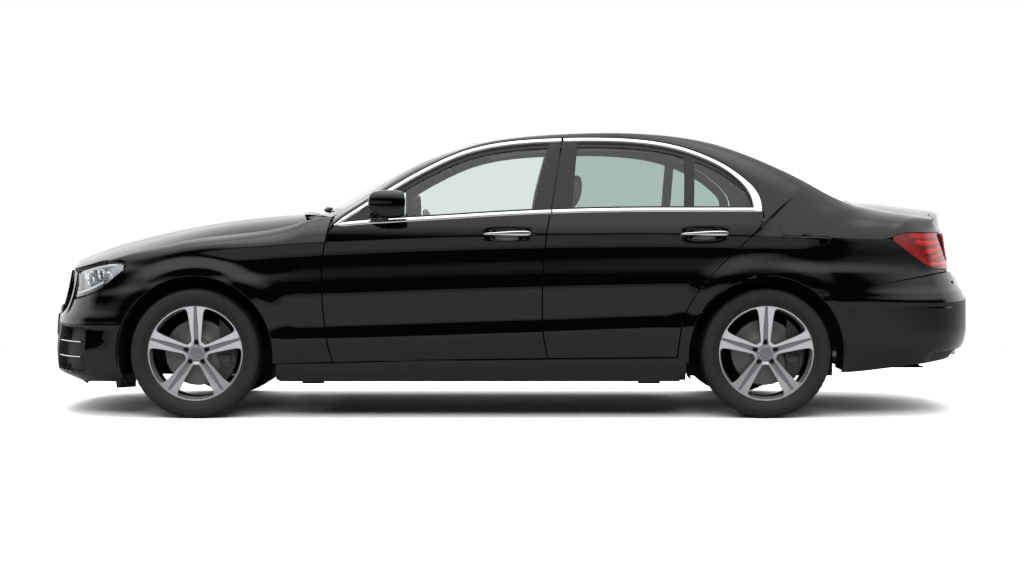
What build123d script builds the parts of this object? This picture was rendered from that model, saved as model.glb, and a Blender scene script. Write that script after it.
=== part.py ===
"""Four-door executive saloon car, full size, as separate jointed pieces.

Millimetres.  +X points to the nose, +Y to the car's left, +Z up.  The origin lies on the floor,
under the middle of the car's length and width.
"""

import os
from math import cos, radians, sin

from build123d import *

os.makedirs("parts", exist_ok=True)

# ---------------------------------------------------------------- driving sizes
length = 4923.0
width = 1852.0
height = 1500.0
wheelbase = 2939.0
front_overhang = 841.5
nose_x = length / 2
tail_x = -length / 2
front_axle_x = nose_x - front_overhang
rear_axle_x = front_axle_x - wheelbase
half_width = width / 2
wheel_y = half_width - 136.0    # wheel centre plane

tyre_radius = 334.0
tyre_width = 236.0
rim_radius = 258.0         # outside of the rim flange
arch_radius = 400.0        # wheel arch opening in wings and quarters
hub_z = tyre_radius

shut_gap = 6.0             # between a moving panel and its neighbours
touch = 0.3                # running clearance of pieces that carry each other
skin = 8.0                 # wings, quarters and the flange round each door
bumper_wall = 45.0
bumper_step_z = 528.0      # the front bumper steps back above this

sill_bottom = 190.0
sill_top = 290.0
door_bottom = 300.0
belt_z = 1062.0            # bottom of the side windows
cant_z = height - 48.0     # top of the side windows, at the cant rail

# Body side, seen along X: half widths at set heights, from sill to cant rail.
side_low = (half_width - 44.0, door_bottom)
side_mid = (half_width, 610.0)
side_shoulder = (half_width - 18.0, 940.0)
side_belt = (half_width - 58.0, belt_z)
side_cant = (half_width - 254.0, cant_z)

# Door cut lines and hinges
door_front_x = 969.0       # most forward point of the front door's front edge
door_split_x = -160.0      # front of the gap between the doors, at hinge height
door_depth = 158.0         # from the widest line in to the trim face
door_inner_y = half_width - door_depth
hinge_back = 68.0          # pin, behind the leading edge of its door
hinge_y = half_width - 38.0
hinge_levels = (520.0, 800.0)
pin_radius = 6.0
knuckle_radius = 12.0
knuckle_height = 34.0
flange = 26.0              # thin edge of a door beyond its box
box_behind_pin = 20.0
frame_depth = 24.0         # window frame, through its thickness
frame_band = 38.0          # window frame, seen from the side
window_sill = 12.0         # glass starts this far above the belt
pillar_depth = 40.0
glass_wall = 5.0
glass_set_in = 12.0
roof_wall = 22.0
screen_wall = 12.0         # screens with their bonded edge


def side_plane(y):
    """Plane seen along -Y: local x is +X, local y is +Z; a negative extrude runs towards +Y."""
    return Plane.XZ.offset(-y)


def finish(piece, name):
    """Label a finished piece and write it as one STEP file."""
    piece.part.label = name
    export_step(piece.part, f"parts/{name}.step")


def region(*edges):
    """Closed face from points: a three-point tuple is an arc, a two-point tuple is a line."""
    with BuildSketch(mode=Mode.PRIVATE) as face:
        with BuildLine():
            for points in edges:
                if len(points) == 3:
                    ThreePointArc(*points)
                else:
                    Line(*points)
        make_face()
    return face.sketch


def grown(face, amount):
    """The same face, with its outline moved outwards by amount (inwards if negative)."""
    with BuildSketch(mode=Mode.PRIVATE) as moved:
        add(face)
        offset(amount=amount, kind=Kind.INTERSECTION)
    return moved.sketch


def polygon(*points):
    """Closed face through points, with straight sides."""
    return region(*[(points[i], points[(i + 1) % len(points)]) for i in range(len(points))])


# ---------------------------------------------------------------- body side outlines (X, Z)
split_low = (door_split_x - 35, door_bottom)
split_mid = (door_split_x, 560.0)
split_high = (door_split_x - 27, 940.0)
split_belt = (door_split_x - 52, belt_z)
split_cant = (door_split_x - 110, cant_z - 1.0)

front_low = (door_front_x - 44, door_bottom)
front_mid = (door_front_x, 700.0)
front_top = (door_front_x - 34, 985.0)

front_door_face = region(
    (split_low, split_mid, split_high),
    (split_high, split_belt),
    (split_belt, split_cant),
    (split_cant, (60.0, cant_z - 22.0), (367.0, cant_z - 115.0)),
    ((367.0, cant_z - 115.0), (628.0, (cant_z + 960.0) / 2), (905.0, 1030.0)),
    ((905.0, 1030.0), front_top),
    (front_top, front_mid, front_low),
    (front_low, split_low),
)

rear_split = [(x - shut_gap, z) for x, z in (split_low, split_mid, split_high, split_belt, split_cant)]
rear_door_face = region(
    (rear_split[0], rear_split[1], rear_split[2]),
    (rear_split[2], rear_split[3]),
    (rear_split[3], rear_split[4]),
    (rear_split[4], (-560.0, cant_z + 12.0), (-850.0, cant_z - 24.0)),
    ((-850.0, cant_z - 24.0), (-1120.0, (cant_z + 1172.0) / 2), (-1290.0, 1160.0)),
    ((-1290.0, 1160.0), (-1322.0, 1085.0), (-1288.0, 1000.0)),
    ((-1288.0, 1000.0), (-1130.0, 830.0)),
    ((-1130.0, 830.0), (-930.0, 590.0), (-865.0, door_bottom)),
    ((-865.0, door_bottom), rear_split[0]),
)

# ---------------------------------------------------------------- other sizes
floor_z = sill_bottom + 6.0
floor_wall = 12.0
sill_inner_y = door_inner_y - 26.0
floor_half = sill_inner_y - touch
tunnel_z = 345.0
heel_x = -866.0            # heel board under the rear seat
boot_floor_z = 384.0
boot_end_x = -2330.0
boot_sill_z = 700.0
boot_half_width = 618.0
cowl_x = 985.0             # front bulkhead
shelf_z = 1000.0           # parcel shelf
sill_back_x, sill_front_x = -872.0, 1188.0
jack_places = (-720.0, 1020.0)
jack_y, jack_length, jack_width, jack_drop = half_width - 136.0, 110.0, 60.0, 16.0

post_ahead = 75.0          # hinge post's back face, ahead of the pin
post_outer = door_inner_y - 10.0
ear_drop = 62.0            # hinge ears run this far inboard of the pin
ear_wall = 12.0
frame_outside, frame_inside = 34.0, 24.0
bonnet_pin_x, bonnet_pin_z, bonnet_hinge_y = 1040.0, 965.0, half_width - 236.0
boot_pin_x, boot_pin_z, boot_hinge_y = -1586.0, 985.0, 530.0
boot_lid_half = 560.0

tow_y, tow_z, tow_radius, tow_boss, tow_length = -330.0, 376.0, 9.0, 20.0, 60.0
beam_x, beam_wall, beam_low, beam_high = nose_x - 221.5, 50.0, 370.0, 500.0

kingpin_y = wheel_y - 90.0
lower_ball_z, upper_ball_z, ball_height = hub_z - 118.0, hub_z + 202.0, 30.0
spindle_radius, spindle_end_y, bore_play = 24.0, wheel_y + 22.0, 0.05
disc_radius, disc_inner_y, disc_wall = 172.0, wheel_y - 46.0, 32.0
caliper_radius, caliper_outer_y = 206.0, wheel_y + 6.0
spoke_y, spoke_wall = wheel_y + 60.0, 26.0
bead_radius = 241.0
front_housing_y, housing_wall, housing_outer_y = 464.0, 7.0, half_width - 60.0
housing_radius = arch_radius + 16.0
rail_outer_y = front_housing_y - touch

subframe_top, engine_height = 276.0, 560.0
gearbox_z, gearbox_radius = 264.0, 72.0
exhaust_y, exhaust_z, exhaust_radius = 112.0, 206.0, 26.0
silencer_x, tailpipe_x = -1660.0, -2330.0

seat_y = 370.0
seat_base_z = 372.0
steering_radius = 172.0
wheel_tilt = 22.0
wheel_plane = Plane(origin=(420.0, -seat_y, 905.0),
                    z_dir=(-cos(radians(wheel_tilt)), 0.0, sin(radians(wheel_tilt))))
handle_y, handle_z = half_width + 7.0, 950.0
mirror_foot_y = side_belt[0] + 7.3

# headlamp outline seen from the side (X, Z)
lamp_outline = [(2300.0, 741.0), (2255.0, 762.0), (2150.0, 799.0), (2012.0, 780.0), (2045.0, 746.0),
                (2124.0, 676.0), (2229.0, 621.0), (2284.0, 600.0)]
# plan outlines, left half, from the side panel round to the middle (X, Y)
front_plan = [(nose_x - 661.5, half_width - 10.0), (nose_x - 426.5, half_width - 40.0),
              (nose_x - 199.5, half_width - 161.0), (nose_x - 76.5, 560.0), (nose_x, 0.0)]
lamp_plan = [(nose_x - 661.5, half_width - 10.0), (nose_x - 471.5, half_width - 48.0),
             (nose_x - 296.5, half_width - 184.0), (nose_x - 171.5, 560.0), (nose_x - 33.5, 0.0)]
rear_plan = [(tail_x + 921.5, half_width - 4.0), (tail_x + 496.5, half_width - 33.0),
             (tail_x + 199.5, half_width - 131.0), (tail_x + 61.5, 600.0), (tail_x, 0.0)]
lid_plan = [(tail_x + 921.5, half_width - 4.0), (tail_x + 496.5, half_width - 41.0),
            (tail_x + 231.5, half_width - 151.0), (tail_x + 116.5, 560.0), (tail_x + 56.5, 0.0)]


def plan_ring(plan, wall, inset=0.0):
    """Band of the given wall behind a plan outline, across the whole car (X, Y)."""
    ahead = 1.0 if plan[-1][0] > 0 else -1.0

    def moved(by):
        start, side, bend, end, middle = plan
        return [
            (start[0], start[1] - by),
            (side[0] - ahead * by * 0.15, side[1] - by),
            (bend[0] - ahead * by * 0.72, bend[1] - by * 0.72),
            (end[0] - ahead * by, end[1] - by * 0.3),
            (middle[0] - ahead * by, 0.0),
        ]

    outer, inner = moved(inset), moved(inset + wall)
    outer_right = [(x, -y) for x, y in outer]
    inner_right = [(x, -y) for x, y in inner]
    return region(
        (outer[0], outer[1]), (outer[1], outer[2], outer[3]), (outer[3], outer[4], outer_right[3]),
        (outer_right[3], outer_right[2], outer_right[1]), (outer_right[1], outer_right[0]),
        (outer_right[0], inner_right[0]),
        (inner_right[0], inner_right[1]), (inner_right[1], inner_right[2], inner_right[3]),
        (inner_right[3], inner[4], inner[3]), (inner[3], inner[2], inner[1]), (inner[1], inner[0]),
        (inner[0], outer[0]),
    )


lower_half = polygon((tail_x, 0.0), (nose_x, 0.0), (nose_x, belt_z), (tail_x, belt_z))
upper_half = polygon((tail_x, belt_z), (nose_x, belt_z), (nose_x, height + 100), (tail_x, height + 100))
window_half = polygon(
    (tail_x, belt_z + window_sill - frame_band),
    (nose_x, belt_z + window_sill - frame_band),
    (nose_x, height + 100),
    (tail_x, height + 100),
)


# ---------------------------------------------------------------- shared shapes
def flank_section(wall):
    """Upright section of the left body side (Y, Z), from the outer skin inwards by wall."""
    outer = [side_low, side_mid, side_shoulder, side_belt]
    inner = [(y - wall, z) for y, z in outer]
    return region(
        (outer[0], outer[1], outer[2]),
        (outer[2], outer[3]),
        (outer[3], inner[3]),
        (inner[3], inner[2]),
        (inner[2], inner[1], inner[0]),
        (inner[0], outer[0]),
    )


def band_section(behind, depth):
    """Leaning band (Y, Z) along the side windows, starting behind the outer surface."""
    low_y, low_z = side_belt
    high_y, high_z = side_cant
    top_z = high_z + 24.0
    top_y = low_y + (high_y - low_y) * (top_z - low_z) / (high_z - low_z)
    return polygon(
        (low_y - behind, low_z),
        (top_y - behind, top_z),
        (top_y - behind - depth, top_z),
        (low_y - behind - depth, low_z),
    )


def along_car(section):
    """A section in the YZ plane, drawn out over the whole length."""
    with BuildPart(mode=Mode.PRIVATE) as bar:
        with BuildSketch(Plane.YZ.offset(tail_x)):
            add(section)
        extrude(amount=length)
    return bar.part


def across(face, inner_y, outer_y):
    """A face in the side view, drawn out from inner_y to outer_y."""
    with BuildPart(mode=Mode.PRIVATE) as slab:
        with BuildSketch(side_plane(inner_y)):
            add(face)
        extrude(amount=-(outer_y - inner_y))
    return slab.part


def upright(face, low_z, high_z):
    """A face in plan, drawn out from low_z to high_z."""
    with BuildPart(mode=Mode.PRIVATE) as block:
        with BuildSketch(Plane.XY.offset(low_z)):
            add(face)
        extrude(amount=high_z - low_z)
    return block.part


flank_skin = along_car(flank_section(skin))
flank_solid = along_car(flank_section(half_width - door_inner_y - 14.0))
frame_band_part = along_car(band_section(0.0, frame_depth))
glass_band_part = along_car(band_section(glass_set_in, glass_wall))
pillar_band_part = along_car(band_section(frame_depth + shut_gap, pillar_depth))
c_pillar_band_part = along_car(band_section(0.0, frame_depth))

# Room that the doors need, used to cut their neighbours.
door_room = [
    across(grown(face, shut_gap), 560.0, half_width + 20.0) for face in (front_door_face, rear_door_face)
]

# Window openings of the left doors (X, Z)
front_window = (
    grown(front_door_face & window_half, -frame_band)
    & polygon((-120.0, 1000.0), (nose_x, 1000.0), (nose_x, 1600.0), (-212.0, 1600.0))
)
rear_window_whole = (
    grown(rear_door_face & window_half, -frame_band)
    & polygon((-315.0, 1000.0), (-355.0, 1600.0), (tail_x, 1600.0), (tail_x, 1000.0))
)
quarter_post = polygon((-902.0, 1000.0), (-918.0, 1600.0), (-958.0, 1600.0), (-942.0, 1000.0))
rear_windows = rear_window_whole - quarter_post


# ---------------------------------------------------------------- doors
def door_part(face, windows, pin_x):
    """Left door: thin flange round a full-depth box, a window frame and two hinge knuckles."""
    box_room = polygon(
        (tail_x, door_bottom + 8.0), (pin_x - box_behind_pin, door_bottom + 8.0),
        (pin_x - box_behind_pin, belt_z), (tail_x, belt_z),
    )
    box_face = grown(face, -flange) & box_room
    with BuildPart(mode=Mode.PRIVATE) as door:
        add(across(face & lower_half, 0.0, half_width + 20.0))
        add(flank_skin, mode=Mode.INTERSECT)
        add(across(box_face, door_inner_y, half_width + 20.0) & flank_solid)
        add(across((face & upper_half) - windows, 560.0, half_width) & frame_band_part)
        for level in hinge_levels:
            with Locations((pin_x, hinge_y, level)):
                Cylinder(knuckle_radius, knuckle_height)
            with Locations((pin_x - 12.0, hinge_y - 4.0, level)):
                Box(30.0, 14.0, knuckle_height)
            with Locations((pin_x, hinge_y, level)):
                Cylinder(pin_radius + touch, knuckle_height * 2, mode=Mode.SUBTRACT)
    return door.part


# front or rear, outline, windows, pin_x
door_table = [
    ("front", front_door_face, front_window, door_front_x - hinge_back),
    ("rear", rear_door_face, rear_windows, door_split_x - shut_gap - hinge_back),
]
for place, face, windows, pin_x in door_table:
    left_door = door_part(face, windows, pin_x)
    left_glass = across(grown(windows, -touch), 560.0, half_width) & glass_band_part
    for side in ("left", "right"):
        with BuildPart() as door:
            add(left_door)
            if side == "right":
                mirror(about=Plane.XZ, mode=Mode.REPLACE)
        finish(door, f"{place}_door_{side}")
        with BuildPart() as glass:
            add(left_glass)
            if side == "right":
                mirror(about=Plane.XZ, mode=Mode.REPLACE)
        finish(glass, f"{place}_door_glass_{side}")


# ---------------------------------------------------------------- body structure
with BuildPart() as sills:
    with BuildSketch(Plane.YZ.offset(sill_back_x)):
        add(polygon((sill_inner_y, floor_z), (half_width - 36.0, sill_bottom), (half_width - 44.0, sill_top),
                    (sill_inner_y, sill_top)))
    extrude(amount=sill_front_x - sill_back_x)
    for jack_x in jack_places:
        with Locations((jack_x, jack_y, sill_bottom - jack_drop / 2 + 4.0)):
            Box(jack_length, jack_width, jack_drop + 8.0)
    mirror(about=Plane.XZ)
finish(sills, "sills")

tunnel_line = [
    (-floor_half, floor_z), (-150.0, floor_z), (-118.0, tunnel_z), (118.0, tunnel_z), (150.0, floor_z),
    (floor_half, floor_z), (floor_half, floor_z + floor_wall), (160.0, floor_z + floor_wall),
    (128.0, tunnel_z + floor_wall), (-128.0, tunnel_z + floor_wall), (-160.0, floor_z + floor_wall),
    (-floor_half, floor_z + floor_wall),
]
boot_floor_line = [
    (heel_x, floor_z), (heel_x - floor_wall, floor_z), (heel_x - floor_wall, boot_floor_z),
    (boot_end_x, boot_floor_z), (boot_end_x, boot_sill_z), (boot_end_x + floor_wall, boot_sill_z),
    (boot_end_x + floor_wall, boot_floor_z + floor_wall), (heel_x, boot_floor_z + floor_wall),
]
with BuildPart() as floor:
    with BuildSketch(Plane.YZ.offset(heel_x)):
        add(polygon(*tunnel_line))
    extrude(amount=cowl_x - heel_x)
    with BuildSketch(side_plane(-boot_half_width)):
        add(polygon(*boot_floor_line))
    extrude(amount=-2 * boot_half_width)
    with BuildSketch(Plane.YZ.offset(heel_x - floor_wall - 1.0)):
        add(polygon((-150.0, 0.0), (-150.0, floor_z), (-118.0, tunnel_z), (118.0, tunnel_z), (150.0, floor_z),
                    (150.0, 0.0)))
    extrude(amount=floor_wall + 2.0, mode=Mode.SUBTRACT)
finish(floor, "floor")

with BuildPart() as bulkheads:
    with BuildSketch(side_plane(4.0 - sill_inner_y)):
        add(polygon(
            (cowl_x, floor_z), (cowl_x + 12.0, floor_z), (cowl_x + 12.0, 984.0), (cowl_x, 984.0),
        ))
    extrude(amount=-2 * (sill_inner_y - 4.0))
    with BuildSketch(side_plane(-640.0)):
        add(polygon(
            (cowl_x, 970.0), (cowl_x + 12.0, 970.0), (cowl_x + 104.0, 988.0),
            (cowl_x + 104.0, 1000.0), (cowl_x, 984.0),
        ))
    extrude(amount=-1280.0)
    with BuildSketch(Plane.YZ.offset(cowl_x - 1.0)):
        add(polygon((-170.0, 180.0), (170.0, 180.0), (135.0, 350.0), (-135.0, 350.0)))
    extrude(amount=20.0, mode=Mode.SUBTRACT)
    with BuildSketch(side_plane(-598.0)):
        add(polygon(
            (-1222.0, boot_floor_z + floor_wall), (-1210.0, boot_floor_z + floor_wall), (-1210.0, shelf_z),
            (-1800.0, shelf_z + 40.0), (-1800.0, shelf_z + 28.0), (-1222.0, shelf_z - 12.0),
        ))
    extrude(amount=-1196.0)
finish(bulkheads, "bulkheads")

def crowned_slab(stations, wall):
    """Panel through upright sections; each is x, middle z, edge z, half width."""
    with BuildPart(mode=Mode.PRIVATE) as panel:
        for x, middle_z, edge_z, edge_y in stations:
            with BuildSketch(Plane.YZ.offset(x)):
                add(region(
                    ((-edge_y, edge_z), (0.0, middle_z), (edge_y, edge_z)),
                    ((edge_y, edge_z), (edge_y, edge_z - wall)),
                    ((edge_y, edge_z - wall), (0.0, middle_z - wall), (-edge_y, edge_z - wall)),
                    ((-edge_y, edge_z - wall), (-edge_y, edge_z)),
                ))
        loft()
    return panel.part


# z, middle x, edge x, half width
windscreen_levels = [(1040.0, 1040.0, 925.0, half_width - 156.0),
                     ((height + 1000.0) / 2, 693.0, 592.0, half_width - 234.0),
                     (height - 64.0, 232.0, 130.0, half_width - 328.0)]
rear_screen_levels = [(1096.0, -1834.0, -1740.0, half_width - 210.0),
                      ((height + 1080.0) / 2, -1483.0, -1390.0, half_width - 236.0),
                      (height - 76.0, -1138.0, -1070.0, half_width - 290.0)]
# x, middle z, edge z, half width
roof_stations = [
    (215.0, height - 59.0, height - 94.0, half_width - 290.0),
    (-200.0, height - 8.0, height - 42.0, half_width - 264.0),
    (-560.0, height, height - 30.0, half_width - 262.0),
    (-900.0, height - 22.0, height - 58.0, half_width - 271.0),
    (-1130.0, height - 72.0, height - 115.0, half_width - 286.0),
]
above_roof = [(x, middle_z + 80.0, edge_z + 80.0, edge_y) for x, middle_z, edge_z, edge_y in roof_stations]
roof_room = crowned_slab(above_roof, roof_wall + 2 * touch + 80.0)

# Hinge posts of the door openings: pin x, post front x, post back x, inner face y
hinge_posts = [
    (door_table[0][3], cowl_x + 14.0, door_table[0][3] + post_ahead, sill_inner_y),
    (door_table[1][3], door_split_x + 60.0, door_split_x - 140.0, door_inner_y - 128.0),
]
with BuildPart() as side_frames:
    with BuildSketch(side_plane(500.0)):
        for face in (front_door_face, rear_door_face):
            add(grown(face & upper_half, frame_outside))
        for face in (front_door_face, rear_door_face):
            add(grown(face & upper_half, -frame_inside), mode=Mode.SUBTRACT)
        add(lower_half, mode=Mode.SUBTRACT)
        add(polygon((940.0, 900.0), (1200.0, 900.0), (1200.0, 1300.0), (940.0, 1300.0)), mode=Mode.SUBTRACT)
        add(polygon((-1210.0, 900.0), (-1500.0, 900.0), (-1500.0, 1500.0), (-1210.0, 1500.0)),
            mode=Mode.SUBTRACT)
    extrude(amount=-(half_width - 500.0))
    add(pillar_band_part, mode=Mode.INTERSECT)
    add(roof_room, mode=Mode.SUBTRACT)
    for pin_x, post_front, post_back, post_inner in hinge_posts:
        with Locations(((post_front + post_back) / 2, (post_inner + post_outer) / 2,
                        (sill_top + belt_z + 4.0) / 2)):
            Box(abs(post_front - post_back), post_outer - post_inner, belt_z + 4.0 - sill_top)
        with Locations((pin_x + post_ahead + 7.0, (post_outer + hinge_y - ear_drop + 8.0) / 2 - 1.0, 660.0)):
            Box(14.0, hinge_y - ear_drop + 10.0 - post_outer, 340.0)
    mirror(about=Plane.XZ)
finish(side_frames, "side_frames")

# Fixed halves of the door hinges: two ears and a pin at each level, reaching back from the posts.
ear_plan = [
    (-8.0, 8.0), (-8.0, -6.0), (6.0, -ear_drop - 7.0), (post_ahead, -ear_drop - 7.0),
    (post_ahead, -ear_drop + 7.0), (20.0, -ear_drop + 7.0), (9.0, -4.0), (8.0, 8.0),
]
with BuildPart() as hinges:
    for place, face, windows, pin_x in door_table:
        ear_face = polygon(*[(pin_x + x, hinge_y + y) for x, y in ear_plan])
        for level in hinge_levels:
            low_ear = level - knuckle_height / 2 - touch - ear_wall
            add(upright(ear_face, low_ear, low_ear + ear_wall))
            add(upright(ear_face, level + knuckle_height / 2 + touch, level + knuckle_height / 2 + ear_wall))
            with Locations((pin_x, hinge_y, level)):
                Cylinder(pin_radius, knuckle_height + 2 * ear_wall)
    mirror(about=Plane.XZ)
    for side in (-1, 1):
        with Locations((bonnet_pin_x, side * bonnet_hinge_y, bonnet_pin_z)):
            Cylinder(pin_radius, 40.0, rotation=(90, 0, 0))
        with Locations(((cowl_x + 12.0 + bonnet_pin_x + 10.0) / 2, side * (bonnet_hinge_y - 14.0), bonnet_pin_z)):
            Box(bonnet_pin_x + 10.0 - cowl_x - 12.0, 8.0, 24.0)
        with Locations((boot_pin_x, side * boot_hinge_y, boot_pin_z)):
            Cylinder(pin_radius, 40.0, rotation=(90, 0, 0))
        with Locations((boot_pin_x, side * (boot_hinge_y - 14.0), boot_pin_z + 10.6)):
            Box(24.0, 8.0, 33.2)
finish(hinges, "hinges")


# ---------------------------------------------------------------- outer panels
def wing_section(lean_in, shoulder_z, crest_y, crest_z, low_z):
    """Section (Y, Z) of a wing or quarter: side, shoulder, then the top in to its crest."""
    rows = []
    for wall in (0.0, skin):
        rows.append([
            (side_low[0] - lean_in - wall, low_z),
            (half_width - lean_in - wall, side_mid[1]),
            (side_shoulder[0] - lean_in - wall, shoulder_z - wall * 0.4),
            ((side_shoulder[0] - lean_in + crest_y) / 2, (shoulder_z + crest_z) / 2 + 12.0 - wall),
            (crest_y, crest_z - wall),
        ])
    outer, inner = rows
    return region(
        (outer[0], outer[1], outer[2]),
        (outer[2], outer[3], outer[4]),
        (outer[4], inner[4]),
        (inner[4], inner[3], inner[2]),
        (inner[2], inner[1], inner[0]),
        (inner[0], outer[0]),
    )


# Sections of the front wing and of the rear quarter.
# x, lean_in (narrower than the widest by), shoulder_z, crest_y, crest_z
wing_sections = [
    (925.0, 0.0, 915.0, half_width - 136.0, 1030.0),
    (1330.0, 0.0, 882.0, half_width - 148.0, 1000.0),
    (1640.0, 4.0, 864.0, half_width - 154.0, 958.0),
    (2045.0, 38.0, 838.0, half_width - 204.0, 866.0),
]
quarter_sections = [
    (-2300.0, 150.0, 905.0, boot_lid_half + shut_gap, 1046.0),
    (-1965.0, 33.0, 926.0, boot_lid_half + shut_gap + 2.0, 1084.0),
    (-1600.0, 4.0, 932.0, half_width - 92.0, 1092.0),
    (-1240.0, 0.0, 938.0, half_width - 78.0, 1078.0),
    (-850.0, 0.0, 945.0, half_width - 80.0, 1070.0),
]
# front bumper's upper edge and rear bumper's upper edge along the side (X, Z)
front_split = [(1840.0, 640.0), (2036.0, 716.0), (2060.0, 716.0), (2600.0, 716.0)]
rear_split_line = [(-1560.0, 640.0), (-1700.0, 655.0), (-2060.0, 711.0), (-2600.0, 716.0)]


def arch_round(axle_x, radius, inner_y, outer_y):
    """Round block on an axle line, from inner_y to outer_y, that opens a wheel arch."""
    with BuildPart(mode=Mode.PRIVATE) as block:
        with BuildSketch(side_plane(inner_y)):
            with Locations((axle_x, hub_z)):
                Circle(radius)
        extrude(amount=-(outer_y - inner_y))
    return block.part


def lofted(sections):
    """Solid through the wing sections of a table."""
    with BuildPart(mode=Mode.PRIVATE) as panel:
        for x, lean_in, shoulder_z, crest_y, crest_z in sections:
            with BuildSketch(Plane.YZ.offset(x)):
                add(wing_section(lean_in, shoulder_z, crest_y, crest_z, door_bottom - 6.0))
        loft()
    return panel.part


def side_block(points):
    """Side-view polygon drawn out over the outer 500 mm of the left side."""
    return across(polygon(*points), half_width - 500.0, half_width + 50.0)


flap_face = region(
    ((-1392.0, 905.0), (-1392.0, 1010.0)), ((-1392.0, 1010.0), (-1396.0, 1020.0), (-1406.0, 1024.0)),
    ((-1406.0, 1024.0), (-1630.0, 1024.0)), ((-1630.0, 1024.0), (-1642.0, 1019.0), (-1646.0, 1008.0)),
    ((-1646.0, 1008.0), (-1646.0, 905.0)), ((-1646.0, 905.0), (-1642.0, 893.0), (-1630.0, 889.0)),
    ((-1630.0, 889.0), (-1406.0, 889.0)), ((-1406.0, 889.0), (-1396.0, 893.0), (-1392.0, 905.0)),
)
wing_body = lofted(wing_sections)
with BuildPart() as front_wings:
    add(wing_body)
    add(arch_round(front_axle_x, arch_radius, 400.0, half_width + 50.0), mode=Mode.SUBTRACT)
    add(door_room[0], mode=Mode.SUBTRACT)
    add(side_block([(1560.0, 100.0), *front_split[:2], (2036.0, 1200.0), (2600.0, 1200.0), (2600.0, 100.0)]),
        mode=Mode.SUBTRACT)
    add(side_block([(800.0, 0.0), (800.0, sill_top + 4.0), (1620.0, sill_top + 4.0), (1620.0, 0.0)]),
        mode=Mode.SUBTRACT)
    add(across(grown(polygon(*lamp_outline), touch), 500.0, 1000.0), mode=Mode.SUBTRACT)
    mirror(about=Plane.XZ)
finish(front_wings, "front_wings")

quarter_body = lofted(quarter_sections)
lamp_front = [(-1990.0, 921.0), (-2046.0, 955.0), (-2600.0, 957.0), (-2600.0, 740.0), (-2230.0, 768.0),
              (-2130.0, 822.0), (-2026.0, 889.0)]
c_pillar_face = polygon(
    (-880.0, 1448.0), (-1130.0, 1388.0), (-1420.0, 1263.0), (-1631.0, 1157.0), (-1760.0, 1100.0),
    (-1800.0, 1064.0), (-1300.0, 1064.0),
)
with BuildPart() as quarter_panels:
    add(quarter_body)
    add((across(c_pillar_face, 500.0, half_width) & c_pillar_band_part) - roof_room)
    add(arch_round(rear_axle_x, arch_radius, 400.0, half_width + 50.0), mode=Mode.SUBTRACT)
    add(door_room[1], mode=Mode.SUBTRACT)
    add(side_block([*rear_split_line, (-2600.0, 100.0), (-1319.0, 100.0)]), mode=Mode.SUBTRACT)
    add(side_block(lamp_front), mode=Mode.SUBTRACT)
    add(upright(polygon((-2600.0, 300.0), (-2600.0, boot_lid_half + shut_gap), (-1836.0, boot_lid_half + shut_gap),
                        (-1836.0, 300.0)), 600.0, 1300.0), mode=Mode.SUBTRACT)
    add(side_block([(-600.0, 0.0), (-600.0, sill_top + 4.0), (-1319.0, sill_top + 4.0), (-1319.0, 0.0)]),
        mode=Mode.SUBTRACT)
    mirror(about=Plane.XZ)
    add(across(grown(flap_face, touch), 700.0, half_width + 50.0), mode=Mode.SUBTRACT)
finish(quarter_panels, "quarter_panels")

with BuildPart() as fuel_flap:
    add(across(flap_face, 700.0, half_width + 50.0))
    add(quarter_body, mode=Mode.INTERSECT)
finish(fuel_flap, "fuel_flap")


bonnet_stations = [
    (1040.0, 1066.0, 1030.0, half_width - 184.0), (1480.0, 1029.0, 975.0, half_width - 174.0),
    (1950.0, 950.0, 888.0, half_width - 210.0), (2370.0, 796.0, 760.0, 560.0),
]
with BuildPart() as roof:
    add(crowned_slab(roof_stations, roof_wall))
    for room in door_room:
        add(room, mode=Mode.SUBTRACT)
        add(mirror(room, about=Plane.XZ, mode=Mode.PRIVATE), mode=Mode.SUBTRACT)
    for levels, lean in ((windscreen_levels, 1.0), (rear_screen_levels, -1.0)):
        top_z, middle_x, edge_x, edge_y = levels[-1]
        back = lean * (screen_wall + touch)
        add(upright(region(
            ((edge_x - back, edge_y), (middle_x - back, 0.0), (edge_x - back, -edge_y)),
            ((edge_x - back, -edge_y), (edge_x - back - lean * 60.0, -half_width)),
            ((edge_x - back - lean * 60.0, -half_width), (middle_x + lean * 200.0, -half_width)),
            ((middle_x + lean * 200.0, -half_width), (middle_x + lean * 200.0, half_width)),
            ((middle_x + lean * 200.0, half_width), (edge_x - back - lean * 60.0, half_width)),
            ((edge_x - back - lean * 60.0, half_width), (edge_x - back, edge_y)),
        ), height - 300.0, height + 100.0), mode=Mode.SUBTRACT)
finish(roof, "roof")

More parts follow.
